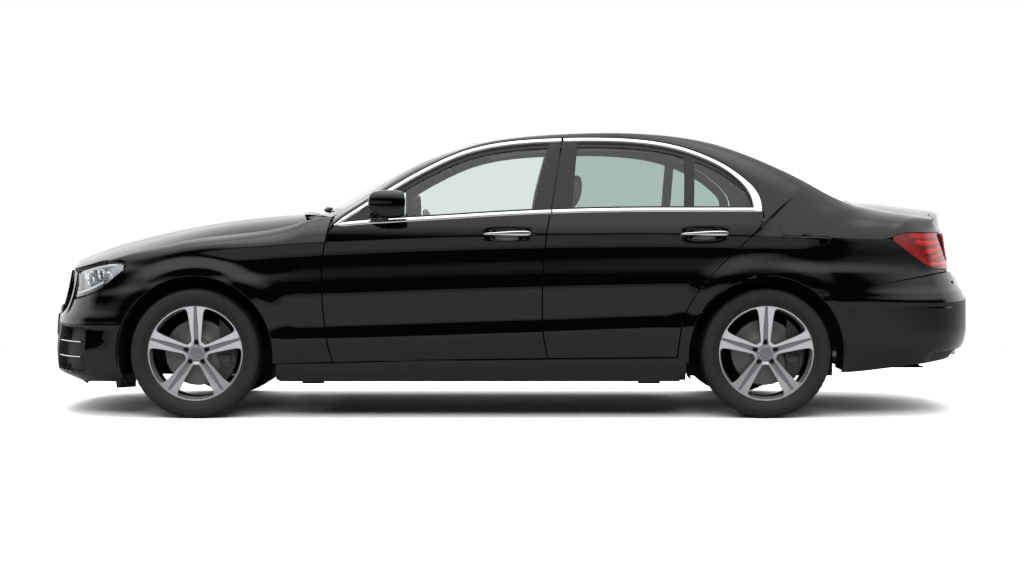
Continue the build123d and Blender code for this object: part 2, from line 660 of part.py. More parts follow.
bonnet_back_y = half_width - 191.0
bonnet_plan = region(
    ((1052.0, -bonnet_back_y), (1122.0, 0.0), (1052.0, bonnet_back_y)),
    ((1052.0, bonnet_back_y), (1500.0, half_width - 174.0), (2030.0, half_width - 226.0)),
    ((2030.0, half_width - 226.0), (2288.0, 560.0)), ((2288.0, 560.0), (2370.0, 0.0), (2288.0, -560.0)),
    ((2288.0, -560.0), (2030.0, 226.0 - half_width)),
    ((2030.0, 226.0 - half_width), (1500.0, 174.0 - half_width), (1052.0, -bonnet_back_y)),
)
with BuildPart() as bonnet:
    add(crowned_slab(bonnet_stations, 26.0))
    add(upright(grown(bonnet_plan, -shut_gap), 600.0, 1200.0), mode=Mode.INTERSECT)
    for side in (-1, 1):
        with Locations((bonnet_pin_x, side * bonnet_hinge_y, bonnet_pin_z)):
            Cylinder(knuckle_radius, 16.0, rotation=(90, 0, 0))
        arm = polygon((bonnet_pin_x, bonnet_pin_z - 9.0), (bonnet_pin_x + 110.0, bonnet_pin_z + 8.0),
                      (bonnet_pin_x + 140.0, bonnet_pin_z + 50.0), (bonnet_pin_x + 110.0, bonnet_pin_z + 53.0),
                      (bonnet_pin_x + 86.0, bonnet_pin_z + 28.0), (bonnet_pin_x, bonnet_pin_z + 9.0))
        add(across(arm, side * bonnet_hinge_y - 6.0, side * bonnet_hinge_y + 6.0))
        with Locations((bonnet_pin_x, side * bonnet_hinge_y, bonnet_pin_z)):
            Cylinder(pin_radius + touch, 60.0, rotation=(90, 0, 0), mode=Mode.SUBTRACT)
finish(bonnet, "bonnet")

# Boot lid: a shelf behind the rear screen that turns down over the tail (X, Z)
boot_profile = region(
    ((-1842.0, 1120.0), (-2080.0, 1096.0), (-2285.0, 1062.0)),
    ((-2285.0, 1062.0), (-2345.0, 880.0), (-2400.0, 724.0)),
    ((-2400.0, 724.0), (-2368.0, 724.0)),
    ((-2368.0, 724.0), (-2315.0, 880.0), (-2256.0, 1032.0)),
    ((-2256.0, 1032.0), (-2080.0, 1070.0), (-1842.0, 1092.0)),
    ((-1842.0, 1092.0), (-1842.0, 1120.0)),
)
boot_arm = [(-9.0, 0.0), (-82.0, -156.0), (-122.0, -266.0), (-248.0, -220.0), (-308.0, -62.0),
            (-316.0, 106.0), (-338.0, 104.0), (-332.0, -66.0), (-264.0, -242.0), (-106.0, -298.0),
            (-60.0, -156.0), (9.0, 0.0)]
with BuildPart() as boot_lid:
    with BuildSketch(side_plane(-boot_lid_half)):
        add(boot_profile)
    extrude(amount=-2 * boot_lid_half)
    for side in (-1, 1):
        add(across(polygon(*[(boot_pin_x + x, boot_pin_z + z) for x, z in boot_arm]),
                   side * boot_hinge_y - 6.0, side * boot_hinge_y + 6.0))
        with Locations((boot_pin_x, side * boot_hinge_y, boot_pin_z)):
            Cylinder(knuckle_radius, 16.0, rotation=(90, 0, 0))
        with Locations((boot_pin_x, side * boot_hinge_y, boot_pin_z)):
            Cylinder(pin_radius + touch, 60.0, rotation=(90, 0, 0), mode=Mode.SUBTRACT)
finish(boot_lid, "boot_lid")


def bent_screen(levels, wall, lean):
    """Curved pane through level sections; each is z, middle x, edge x, half width."""
    with BuildPart(mode=Mode.PRIVATE) as pane:
        for z, middle_x, edge_x, edge_y in levels:
            with BuildSketch(Plane.XY.offset(z)):
                add(region(
                    ((edge_x, -edge_y), (middle_x, 0.0), (edge_x, edge_y)),
                    ((edge_x, edge_y), (edge_x - lean * wall, edge_y)),
                    ((edge_x - lean * wall, edge_y), (middle_x - lean * wall, 0.0),
                     (edge_x - lean * wall, -edge_y)),
                    ((edge_x - lean * wall, -edge_y), (edge_x, -edge_y)),
                ))
        loft()
    return pane.part


for name, levels, lean in (("windscreen", windscreen_levels, 1.0), ("rear_screen", rear_screen_levels, -1.0)):
    with BuildPart() as screen:
        add(bent_screen(levels, screen_wall, lean))
    finish(screen, name)

# ---------------------------------------------------------------- bumpers, grille and lamps
grille_face = polygon((-430.0, 540.0), (430.0, 540.0), (470.0, 630.0), (430.0, 750.0), (-430.0, 750.0),
                      (-470.0, 630.0))
intake_face = polygon((-400.0, 250.0), (400.0, 250.0), (430.0, 400.0), (-430.0, 400.0))


def facing(face, from_x, to_x):
    """A face in the front view (Y, Z), drawn out from from_x to to_x."""
    with BuildPart(mode=Mode.PRIVATE) as block:
        with BuildSketch(Plane.YZ.offset(from_x)):
            add(face)
        extrude(amount=to_x - from_x)
    return block.part


front_bumper_side = polygon(
    (1800.0, 220.0), (2080.0, 150.0), (nose_x + 5.0, 170.0), (nose_x + 5.0, 715.4), (2036.0, 715.4),
    (1800.0, 623.9),
)
rear_bumper_side = polygon(
    (-1500.0, 190.0), (-1825.0, 190.0), (-2398.0, 271.0), (tail_x - 5.0, 350.0), (tail_x - 5.0, 590.0),
    (-2425.0, 715.0), (-2060.0, 709.8), (-1700.0, 653.8), (-1500.0, 632.4),
)


def housing_room(axle_x):
    """Space of both wheel arches of an axle: the lip's round, and the liner's behind it."""
    lip = arch_round(axle_x, arch_radius, -1000.0, 1000.0)
    liner = arch_round(axle_x, housing_radius + 1.0, -housing_outer_y - 1.0, housing_outer_y + 1.0)
    return lip + liner


with BuildPart() as front_bumper:
    add(upright(plan_ring(front_plan, bumper_wall), 140.0, bumper_step_z))
    add(upright(plan_ring(lamp_plan, bumper_wall), bumper_step_z, 760.0))
    add(across(front_bumper_side, -1000.0, 1000.0), mode=Mode.INTERSECT)
    add(facing(grown(grille_face, touch), 2200.0, 2500.0), mode=Mode.SUBTRACT)
    add(facing(intake_face, 2200.0, 2500.0), mode=Mode.SUBTRACT)
    add(across(grown(polygon(*lamp_outline), touch), -1000.0, 1000.0), mode=Mode.SUBTRACT)
    add(housing_room(front_axle_x), mode=Mode.SUBTRACT)
finish(front_bumper, "front_bumper")

with BuildPart() as rear_bumper:
    add(upright(plan_ring(rear_plan, bumper_wall), 140.0, 760.0) & across(rear_bumper_side, -1000.0, 1000.0)
        - housing_room(rear_axle_x))
finish(rear_bumper, "rear_bumper")

with BuildPart() as grille:
    add(facing(grille_face, 2200.0, 2500.0))
    add(upright(plan_ring(lamp_plan, 40.0, 0.0), 140.0, 860.0), mode=Mode.INTERSECT)
finish(grille, "grille")

lamp_y = half_width - 186.0
with BuildPart() as headlamps:
    for side in (-1, 1):
        add(across(polygon(*lamp_outline), side * lamp_y - 250.0, side * lamp_y + 250.0)
            & upright(plan_ring(lamp_plan, 110.0, 2.0), 500.0, 900.0))
finish(headlamps, "headlamps")

tail_lamp_y = half_width - 159.0
with BuildPart() as tail_lamps:
    for side in (-1, 1):
        add(across(grown(polygon(*lamp_front), -touch), side * tail_lamp_y - 200.0, side * tail_lamp_y + 200.0)
            & upright(plan_ring(lid_plan, 90.0, 0.0), 700.0, 1000.0)
            & across(polygon((-1900.0, 700.0), (-1900.0, 1000.0), (-2300.0, 1000.0), (-2396.0, 700.0)),
                     -1000.0, 1000.0))
finish(tail_lamps, "tail_lamps")

# ---------------------------------------------------------------- door fittings
with BuildPart() as mirror_left:
    with BuildSketch(Plane.XZ.offset(-(half_width + 12.0))):
        with Locations((624.0, 1094.0)):
            RectangleRounded(170.0, 112.0, 40.0)
    with BuildSketch(Plane.XZ.offset(-(half_width + 104.0))):
        with Locations((632.0, 1100.0)):
            RectangleRounded(120.0, 84.0, 34.0)
    loft()
    with Locations((640.0, (mirror_foot_y + half_width + 24.0) / 2, belt_z - 8.0)):
        Box(90.0, half_width + 24.0 - mirror_foot_y, 26.0)
    with Locations((630.0, half_width + 22.0, belt_z + 4.0)):
        Box(70.0, 20.0, 30.0)


def handle_left(middle_x):
    """Left pull handle: a bar on two feet that stand on the door skin."""
    foot_y = side_shoulder[0] + 0.4
    with BuildPart(mode=Mode.PRIVATE) as handle:
        for foot in (-108.0, 108.0):
            with Locations((middle_x + foot, (foot_y + handle_y) / 2, handle_z)):
                Box(26.0, handle_y - foot_y, 20.0)
        with Locations((middle_x, handle_y, handle_z)):
            Box(250.0, 10.0, 26.0)
    return handle.part


for side in ("left", "right"):
    with BuildPart() as door_mirror:
        add(mirror_left.part)
        if side == "right":
            mirror(about=Plane.XZ, mode=Mode.REPLACE)
    finish(door_mirror, f"door_mirror_{side}")
    for place, handle_x in (("front", 13.0), ("rear", -997.0)):
        with BuildPart() as handle:
            add(handle_left(handle_x))
            if side == "right":
                mirror(about=Plane.XZ, mode=Mode.REPLACE)
        finish(handle, f"{place}_door_handle_{side}")

# ---------------------------------------------------------------- cabin
with BuildPart() as dashboard:
    with BuildSketch(side_plane(6.0 - sill_inner_y)):
        add(region(
            ((cowl_x - touch, 700.0), (cowl_x - touch, 980.0)),
            ((cowl_x - touch, 980.0), (840.0, 1010.0), (690.0, 985.0)),
            ((690.0, 985.0), (640.0, 900.0), (720.0, 780.0)), ((720.0, 780.0), (cowl_x - touch, 700.0)),
        ))
    extrude(amount=-2 * (sill_inner_y - 6.0))
    add(across(polygon((cowl_x - 4.0, tunnel_z + 14.0), (cowl_x - 4.0, 720.0), (700.0, 800.0), (560.0, 560.0),
                       (-250.0, 540.0), (-250.0, tunnel_z + 14.0)), -118.0, 118.0))
    with BuildSketch(wheel_plane.offset(-250.0)):
        Circle(38.0)
    extrude(amount=250.0 - 28.0 - touch)
finish(dashboard, "dashboard")

with BuildPart() as steering_wheel:
    with BuildSketch(Plane(origin=wheel_plane.origin, x_dir=wheel_plane.z_dir, z_dir=(0, -1, 0))):
        with Locations((0.0, steering_radius)):
            Circle(15.0)
    revolve(axis=Axis(wheel_plane.origin, wheel_plane.z_dir))
    with BuildSketch(wheel_plane.offset(-28.0)):
        Circle(74.0)
    extrude(amount=40.0)
    with BuildSketch(wheel_plane.offset(-12.0)):
        Rectangle(30.0, 2 * steering_radius - 8.0)
        with Locations((-steering_radius / 2, 0.0)):
            Rectangle(steering_radius - 8.0, 34.0)
    extrude(amount=18.0)
finish(steering_wheel, "steering_wheel")


# Side outlines (X, Z) of the cushion, backrest and headrest
front_seat_rows = (
    [(-150.0, seat_base_z), (-150.0, 424.0), (320.0, 510.0), (345.0, 440.0), (310.0, seat_base_z)],
    [(-150.0, 420.0), (-20.0, 440.0), (-225.0, 1060.0), (-330.0, 1060.0), (-250.0, 600.0)],
    [(-268.0, 1055.0), (-335.0, 1055.0), (-400.0, 1180.0), (-385.0, 1282.0), (-330.0, 1282.0),
     (-300.0, 1180.0)],
)
with BuildPart() as front_seats:
    for side in (-1, 1):
        pad, back, head = (polygon(*rows) for rows in front_seat_rows)
        add(across(pad, side * seat_y - 240.0, side * seat_y + 240.0))
        add(across(back, side * seat_y - 240.0, side * seat_y + 240.0))
        add(across(head, side * seat_y - 130.0, side * seat_y + 130.0))
        for rail in (-150.0, 150.0):
            with Locations((90.0, side * seat_y + rail, (floor_z + floor_wall + touch + seat_base_z) / 2)):
                Box(420.0, 40.0, seat_base_z - floor_z - floor_wall - touch)
finish(front_seats, "front_seats")

rear_seat_rows = (
    [(-1055.0, boot_floor_z + floor_wall + touch), (-1020.0, 480.0), (-620.0, 520.0), (-590.0, 450.0),
     (-620.0, tunnel_z + floor_wall + touch), (heel_x + 4.0, tunnel_z + floor_wall + touch),
     (heel_x + 4.0, boot_floor_z + floor_wall + touch)],
    [(-1057.0, boot_floor_z + floor_wall + touch), (-985.0, 560.0), (-1110.0, 985.0), (-1209.0, 985.0),
     (-1209.0, boot_floor_z + floor_wall + touch)],
)
with BuildPart() as rear_seat:
    pad, back = (polygon(*rows) for rows in rear_seat_rows)
    add(across(pad, -600.0, 600.0))
    add(across(back, -590.0, 590.0))
    for head_y in (-340.0, 0.0, 340.0):
        with Locations((-1155.0, head_y, 1046.0)):
            Box(80.0, 230.0, 130.0)
finish(rear_seat, "rear_seat")


# ---------------------------------------------------------------- running gear
with BuildPart() as wheel_housings:
    for axle_x, inner_y in ((front_axle_x, front_housing_y), (rear_axle_x, boot_half_width + 2.0)):
        with BuildSketch(side_plane(inner_y)):
            with Locations((axle_x, hub_z)):
                Circle(housing_radius)
                Rectangle(2.2 * housing_radius, 600.0, align=(Align.CENTER, Align.MAX), mode=Mode.SUBTRACT)
        extrude(amount=-housing_wall)
        with BuildSketch(side_plane(inner_y)):
            with Locations((axle_x, hub_z)):
                Circle(housing_radius)
                Circle(housing_radius - housing_wall, mode=Mode.SUBTRACT)
                Rectangle(2.2 * housing_radius, 600.0, align=(Align.CENTER, Align.MAX), mode=Mode.SUBTRACT)
        extrude(amount=-(housing_outer_y - inner_y))
    add(arch_round(rear_axle_x, 60.0, 500.0, 700.0), mode=Mode.SUBTRACT)
    mirror(about=Plane.XZ)
finish(wheel_housings, "wheel_housings")

with BuildPart() as chassis_rails:
    for side in (-1, 1):
        with Locations(((cowl_x + 12.0 + touch + beam_x + beam_wall) / 2, side * (rail_outer_y - 32.0),
                        (subframe_top + touch + beam_low) / 2)):
            Box(beam_x + beam_wall - cowl_x - 12.0 - touch, 64.0, beam_low - subframe_top - touch)
    with Locations((beam_x + beam_wall / 2, 0.0, (beam_low + beam_high) / 2)):
        Box(beam_wall, 1040.0, beam_high - beam_low)
    with Locations(((beam_x + nose_x - bumper_wall - 1.0) / 2, 0.0, (beam_low + beam_high) / 2)):
        Box(nose_x - bumper_wall - 1.0 - beam_x, 60.0, beam_high - beam_low - 30.0)
    with Locations((beam_x + beam_wall + tow_length / 2, tow_y, tow_z)):
        Cylinder(tow_boss, tow_length, rotation=(0, 90, 0))
    with Locations((beam_x + beam_wall + tow_length / 2, tow_y, tow_z)):
        Cylinder(tow_radius, tow_length, rotation=(0, 90, 0), mode=Mode.SUBTRACT)
    with Locations((boot_end_x - 25.0 - touch, 0.0, 480.0)):
        Box(50.0, 760.0, 90.0)
    with Locations(((boot_end_x - touch + tail_x + bumper_wall + 1.0) / 2, 0.0, 480.0)):
        Box(boot_end_x - touch - tail_x - bumper_wall - 1.0, 60.0, 70.0)
finish(chassis_rails, "chassis_rails")

with BuildPart() as engine:
    with Locations((1560.0, 0.0, subframe_top + touch + engine_height / 2)):
        Box(720.0, 520.0, engine_height)
    with Locations((755.0, 0.0, gearbox_z)):
        Cylinder(gearbox_radius, 900.0, rotation=(0, 90, 0))
    with Locations((2010.0, 0.0, 520.0)):
        Box(200.0, 60.0, 60.0)
    with Locations((2120.0, 0.0, 500.0)):
        Box(50.0, 780.0, 460.0)
finish(engine, "engine")

with BuildPart() as exhaust:
    with Locations(((1150.0 + silencer_x) / 2, -exhaust_y, exhaust_z)):
        Cylinder(exhaust_radius, 1150.0 - silencer_x, rotation=(0, 90, 0))
    with Locations((silencer_x - 130.0, 0.0, 275.0)):
        Box(260.0, 1060.0, 190.0)
    for side in (-1, 1):
        with Locations((silencer_x - 130.0, side * 300.0, (360.0 + boot_floor_z - touch) / 2)):
            Box(40.0, 24.0, boot_floor_z - touch - 360.0)
        with Locations(((silencer_x - 260.0 + tailpipe_x) / 2, side * 420.0, 262.0)):
            Cylinder(30.0, silencer_x - 260.0 - tailpipe_x, rotation=(0, 90, 0))
finish(exhaust, "exhaust")


def link(start, end, radius):
    """Round bar between two points."""
    near, far = Vector(*start), Vector(*end)
    with BuildPart(mode=Mode.PRIVATE) as bar:
        with BuildSketch(Plane(origin=near, z_dir=far - near)):
            Circle(radius)
        extrude(amount=(far - near).length)
    return bar.part


# Arms and struts of one front corner: start x from the axle, y, z; end x, y, z; radius
front_links = [
    (-130.0, 440.0, lower_ball_z + 10.0, 0.0, kingpin_y - 4.0, lower_ball_z, 14.0),
    (130.0, 440.0, lower_ball_z + 10.0, 0.0, kingpin_y - 4.0, lower_ball_z, 14.0),
    (-110.0, front_housing_y + housing_wall + 5.4, upper_ball_z + 30.0, 0.0, kingpin_y - 4.0, upper_ball_z, 11.0),
    (110.0, front_housing_y + housing_wall + 5.4, upper_ball_z + 30.0, 0.0, kingpin_y - 4.0, upper_ball_z, 11.0),
    (0.0, kingpin_y - 60.0, lower_ball_z + 6.0, 0.0, kingpin_y - 140.0, hub_z + 398.0, 22.0),
]
# The same for a rear corner, where the last bar is the drive shaft.
rear_links = [
    (-120.0, 340.0, hub_z - 84.0, 0.0, kingpin_y - 18.8, hub_z - 98.0, 16.0),
    (120.0, 340.0, hub_z - 84.0, 0.0, kingpin_y - 18.8, hub_z - 98.0, 16.0),
    (0.0, 120.0, hub_z, 0.0, kingpin_y - 13.0 - touch, hub_z, 19.0),
]
with BuildPart() as subframes:
    with Locations((front_axle_x, 0.0, subframe_top - 38.0)):
        Box(300.0, 2 * rail_outer_y, 76.0)
    with Locations((rear_axle_x, 0.0, 276.0)):
        Box(300.0, 720.0, 60.0)
    with Locations((rear_axle_x, 0.0, (260.0 + boot_floor_z - touch) / 2)):
        Box(240.0, 260.0, boot_floor_z - touch - 260.0)
    with Locations(((rear_axle_x + 305.0) / 2, 0.0, gearbox_z)):
        Cylinder(32.0, 305.0 - rear_axle_x - 120.0, rotation=(0, 90, 0))
    for side in (-1, 1):
        for axle_x, links in ((front_axle_x, front_links), (rear_axle_x, rear_links)):
            for ax, ay, az, bx, by, bz, radius in links:
                add(link((axle_x + ax, side * ay, az), (axle_x + bx, side * by, bz), radius))
        for ball_z in (lower_ball_z, upper_ball_z):
            with Locations((front_axle_x, side * kingpin_y, ball_z)):
                Cylinder(20.0, ball_height)
finish(subframes, "subframes")


def carrier(axle_x, low_z, high_z):
    """Left hub carrier: upright plate, spindle and the brake caliper behind the axle."""
    with BuildPart(mode=Mode.PRIVATE) as piece:
        with Locations((axle_x, kingpin_y, (low_z + high_z) / 2)):
            Box(64.0, 26.0, high_z - low_z)
        with Locations((axle_x, (kingpin_y + spindle_end_y) / 2, hub_z)):
            Cylinder(spindle_radius, spindle_end_y - kingpin_y, rotation=(90, 0, 0))
        with Locations((axle_x - 80.0, kingpin_y, hub_z)):
            Box(160.0, 26.0, 90.0)
        with BuildSketch(side_plane(kingpin_y - 13.0)):
            with Locations((axle_x, hub_z)):
                Circle(caliper_radius)
                Circle(118.0, mode=Mode.SUBTRACT)
            with Locations((axle_x + 400.0, hub_z)):
                Rectangle(1030.0, 500.0, mode=Mode.SUBTRACT)
        extrude(amount=-(caliper_outer_y - kingpin_y + 13.0))
        with BuildSketch(side_plane(disc_inner_y - 3.0)):
            with Locations((axle_x, hub_z)):
                Circle(disc_radius + 4.0)
        extrude(amount=-(disc_wall + 6.0), mode=Mode.SUBTRACT)
        with Locations((axle_x, (kingpin_y + spindle_end_y) / 2, hub_z)):
            Cylinder(spindle_radius, spindle_end_y - kingpin_y, rotation=(90, 0, 0))
    return piece.part


half_ball = ball_height / 2 + touch
left_knuckle = carrier(front_axle_x, lower_ball_z + half_ball, upper_ball_z - half_ball)
for side in ("left", "right"):
    with BuildPart() as knuckle:
        add(left_knuckle)
        if side == "right":
            mirror(about=Plane.XZ, mode=Mode.REPLACE)
    finish(knuckle, f"knuckle_{side}")
with BuildPart() as rear_hubs:
    add(carrier(rear_axle_x, hub_z - 114.0, hub_z + 116.0))
    mirror(about=Plane.XZ)
finish(rear_hubs, "rear_hubs")

rim_profile = [
    (rim_radius, 112.0), (rim_radius, 103.0), (bead_radius, 98.0), (bead_radius, -98.0), (rim_radius, -103.0),
    (rim_radius, -112.0), (rim_radius - 8.0, -112.0), (bead_radius - 9.0, -100.0), (bead_radius - 9.0, 96.0),
    (rim_radius - 10.0, 112.0),
]
tyre_profile = [
    (bead_radius + touch, -96.0), (bead_radius + touch, 96.0), (rim_radius + 2.0, 102.0),
    (rim_radius + 4.0, 112.0), (285.0, tyre_width / 2), (316.0, tyre_width / 2 - 1.0),
    (tyre_radius - 5.0, 106.0), (tyre_radius, 92.0), (tyre_radius, -92.0), (tyre_radius - 5.0, -106.0),
    (316.0, 1.0 - tyre_width / 2), (285.0, -tyre_width / 2), (rim_radius + 4.0, -112.0),
    (rim_radius + 2.0, -102.0),
]
spoke_plan = [(-30.0, 50.0), (-48.0, bead_radius - 11.0), (48.0, bead_radius - 11.0), (30.0, 50.0)]
for place, axle_x in (("front", front_axle_x), ("rear", rear_axle_x)):
    hub_plane = Plane(origin=(axle_x, wheel_y, hub_z), x_dir=(1, 0, 0), z_dir=(0, 0, 1))
    wheel_axis = Axis((axle_x, wheel_y, hub_z), (0, 1, 0))
    face_plane = Plane(origin=(axle_x, spoke_y, hub_z), x_dir=(-1, 0, 0), z_dir=(0, 1, 0))
    for side in ("left", "right"):
        with BuildPart() as rim:
            with BuildSketch(hub_plane):
                add(polygon(*rim_profile))
            revolve(axis=wheel_axis)
            with BuildSketch(face_plane):
                with PolarLocations(0.0, 5, start_angle=0.0):
                    add(polygon(*spoke_plan))
                Circle(80.0)
            extrude(amount=spoke_wall)
            with Locations((axle_x, (disc_inner_y + spoke_y) / 2, hub_z)):
                Cylinder(72.0, spoke_y - disc_inner_y, rotation=(90, 0, 0))
            with Locations((axle_x, disc_inner_y + disc_wall / 2, hub_z)):
                Cylinder(disc_radius, disc_wall, rotation=(90, 0, 0))
            with Locations((axle_x, (disc_inner_y + spindle_end_y) / 2, hub_z)):
                Cylinder(spindle_radius + bore_play, spindle_end_y - disc_inner_y + 4.0, rotation=(90, 0, 0),
                         mode=Mode.SUBTRACT)
            if side == "right":
                mirror(about=Plane.XZ, mode=Mode.REPLACE)
        finish(rim, f"{place}_rim_{side}")
        with BuildPart() as tyre:
            with BuildSketch(hub_plane):
                add(polygon(*tyre_profile))
            revolve(axis=wheel_axis)
            if side == "right":
                mirror(about=Plane.XZ, mode=Mode.REPLACE)
        finish(tyre, f"{place}_tyre_{side}")
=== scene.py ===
"""Four-door executive saloon car in gloss black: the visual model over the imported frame.

Metres.  +X points to the nose, +Y to the car's left, +Z up, and the origin lies on the floor
under the middle of the car.  Left-hand pieces are worked out and mirrored for the right side.
"""

import bpy
import numpy as np
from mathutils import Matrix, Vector


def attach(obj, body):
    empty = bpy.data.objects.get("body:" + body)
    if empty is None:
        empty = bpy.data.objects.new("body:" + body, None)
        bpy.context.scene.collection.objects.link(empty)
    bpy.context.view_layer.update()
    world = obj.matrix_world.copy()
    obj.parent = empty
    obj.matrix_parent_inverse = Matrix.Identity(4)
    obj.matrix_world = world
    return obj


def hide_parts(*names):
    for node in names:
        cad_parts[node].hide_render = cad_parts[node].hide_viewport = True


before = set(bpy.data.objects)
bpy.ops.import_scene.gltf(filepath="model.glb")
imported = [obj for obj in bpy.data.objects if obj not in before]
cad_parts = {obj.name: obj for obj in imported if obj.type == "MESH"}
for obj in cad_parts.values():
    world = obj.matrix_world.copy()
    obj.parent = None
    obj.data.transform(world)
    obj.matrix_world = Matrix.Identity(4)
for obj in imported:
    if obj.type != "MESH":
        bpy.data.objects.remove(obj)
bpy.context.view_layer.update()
HALF = 0.926                      # half width of the body
FRONT_X, REAR_X, HUB_Z = 1.620, -1.319, 0.334
WHEEL_Y = 0.790                   # middle plane of each wheel
ARCH_R = 0.402
GAP = 0.0035                      # half of a shut line
BONNET_REAR, BONNET_NOSE = 1.052, 2.286
LID_HALF = 0.5625                 # half width of the boot lid
SILL_FOOT = 0.193                 # lower edge of the painted sill
SEAT_Y, SEAT_HALF = 0.37, 0.224   # middle and half width of a front seat
WINDOW_TOP = 1.46                 # above every point of the side windows
PIPE_Y = 0.47                     # middle of each tailpipe
STEER_R, STEER_TILT = 0.172, np.radians(22)
TREAD_BLOCKS = 60
GLASS_IOR, LENS_IOR = 1.52, 1.58  # soda-lime glass, polycarbonate


# ---------------------------------------------------------------- curves and surfaces
def ramp(value, low, high):
    """Smooth step from 0 at low to 1 at high: 3t^2 - 2t^3."""
    t = np.clip((np.asarray(value, float) - low) / (high - low), 0.0, 1.0)
    return t * t * (3.0 - 2.0 * t)


def bell(value, middle, half):
    """Rounded hump, 1 at the middle and 0 beyond half either side."""
    t = np.clip(np.abs(np.asarray(value, float) - middle) / half, 0.0, 1.0)
    return (1.0 - t * t) ** 2


def line(*rows):
    """Curve through rows of (a, b, c ...): cubic pieces in a, whose slopes are the harmonic means of
    their neighbours', so that it never overshoots.  The result gives b, c ... for any array of a."""
    table = np.array(sorted(rows), float)
    a, b = table[:, 0], table[:, 1:]
    step = np.diff(a)[:, None]
    rise = np.diff(b, axis=0) / step
    slope = np.zeros_like(b)
    slope[0], slope[-1] = rise[0], rise[-1]
    same = rise[:-1] * rise[1:] > 0
    near, far = 2 * step[1:] + step[:-1], step[1:] + 2 * step[:-1]
    with np.errstate(divide="ignore", invalid="ignore"):
        mean = (near + far) / (near / rise[:-1] + far / rise[1:])
    slope[1:-1] = np.where(same, mean, 0.0)

    def at(x):
        x = np.clip(np.asarray(x, float), a[0], a[-1])
        k = np.clip(np.searchsorted(a, x) - 1, 0, len(a) - 2)
        h = step[k]
        t = ((x - a[k]) / h[..., 0])[..., None]
        value = ((1 + 2 * t) * (1 - t) ** 2 * b[k] + t * (1 - t) ** 2 * h * slope[k]
                 + t * t * (3 - 2 * t) * b[k + 1] + t * t * (t - 1) * h * slope[k + 1])
        return value[..., 0] if b.shape[1] == 1 else value

    return at


def fair(points, closed=False):
    """Curve of continuous curvature through points in space: a natural cubic spline on chord length,
    as a function of 0 to 1."""
    p = np.array(points, float)
    if closed:
        count = len(p)
        p = np.vstack([p[-3:], p, p[:4]])
    t = np.concatenate([[0.0], np.cumsum(np.linalg.norm(np.diff(p, axis=0), axis=1))])
    n, h = len(p), np.diff(t)
    m = np.zeros((n, n))
    r = np.zeros_like(p)
    m[0, 0] = m[-1, -1] = 1.0
    k = np.arange(1, n - 1)
    m[k, k - 1], m[k, k], m[k, k + 1] = h[:-1], 2 * (h[:-1] + h[1:]), h[1:]
    r[1:-1] = 6 * (np.diff(p[1:], axis=0) / h[1:, None] - np.diff(p[:-1], axis=0) / h[:-1, None])
    c = np.linalg.solve(m, r)
    low, high = (t[3], t[3 + count]) if closed else (0.0, t[-1])

    def at(u):
        x = low + np.asarray(u, float) * (high - low)
        j = np.clip(np.searchsorted(t, x) - 1, 0, n - 2)
        d, e, w = (x - t[j])[..., None], (t[j + 1] - x)[..., None], h[j][..., None]
        return (c[j] * e ** 3 / (6 * w) + c[j + 1] * d ** 3 / (6 * w)
                + (p[j] / w - c[j] * w / 6) * e + (p[j + 1] / w - c[j + 1] * w / 6) * d)

    return at


def spaced(curve, count, fine=1500):
    """Points at even lengths along a fair curve."""
    p = curve(np.linspace(0, 1, fine))
    run = np.concatenate([[0.0], np.cumsum(np.linalg.norm(np.diff(p, axis=0), axis=1))])
    want = np.linspace(0, run[-1], count)
    return np.stack([np.interp(want, run, p[:, k]) for k in range(p.shape[1])], 1)


def bridge(low, high, low_way, high_way, rows, pull=1.0):
    """Surface between two rows of points: cubic in v, leaving the low row along low_way and
    reaching the high row along high_way, each a direction whose length is in chords."""
    v = (np.asarray(rows) if np.ndim(rows) else np.linspace(0, 1, rows))[:, None, None]
    chord = np.linalg.norm(high - low, axis=-1)[..., None] * pull
    a, b = low_way * chord, high_way * chord
    return ((1 + 2 * v) * (1 - v) ** 2 * low + v * (1 - v) ** 2 * a
            + v * v * (3 - 2 * v) * high + v * v * (v - 1) * b)


def circle(count):
    """Even angles round a full turn."""
    return np.linspace(0, 2 * np.pi, count, endpoint=False)


def squared(turn, power):
    """Cosine and sine of angles, each raised to a power below 1: they draw a circle out to a rounded box."""
    return [np.sign(w) * np.abs(w) ** power for w in (np.cos(turn), np.sin(turn))]


def unit(v):
    """Vectors scaled to length 1."""
    return v / np.maximum(np.linalg.norm(v, axis=-1, keepdims=True), 1e-12)


# ---------------------------------------------------------------- meshes
def needed(points, change, slack=0.00020, reach=0.055):
    """Rows of a grid that have to stay: each row left out lies within slack of straight lines between
    rows that stay, which are no further than reach apart; so do rows where the finish changes."""
    keep = [0]
    while keep[-1] < len(points) - 1:
        a = keep[-1]
        b = a + 1
        while b + 1 < len(points) and b < a + 7 and not change[b]:
            span = points[b + 1] - points[a]
            long = np.maximum((span * span).sum(-1), 1e-18)
            if long.max() > reach ** 2:
                break
            off = points[a + 1:b + 1] - points[a]
            share = np.clip((off * span).sum(-1) / long, 0, 1)[..., None]
            if ((off - share * span) ** 2).sum(-1).max() > slack ** 2:
                break
            b += 1
        keep.append(b)
    return np.array(keep)


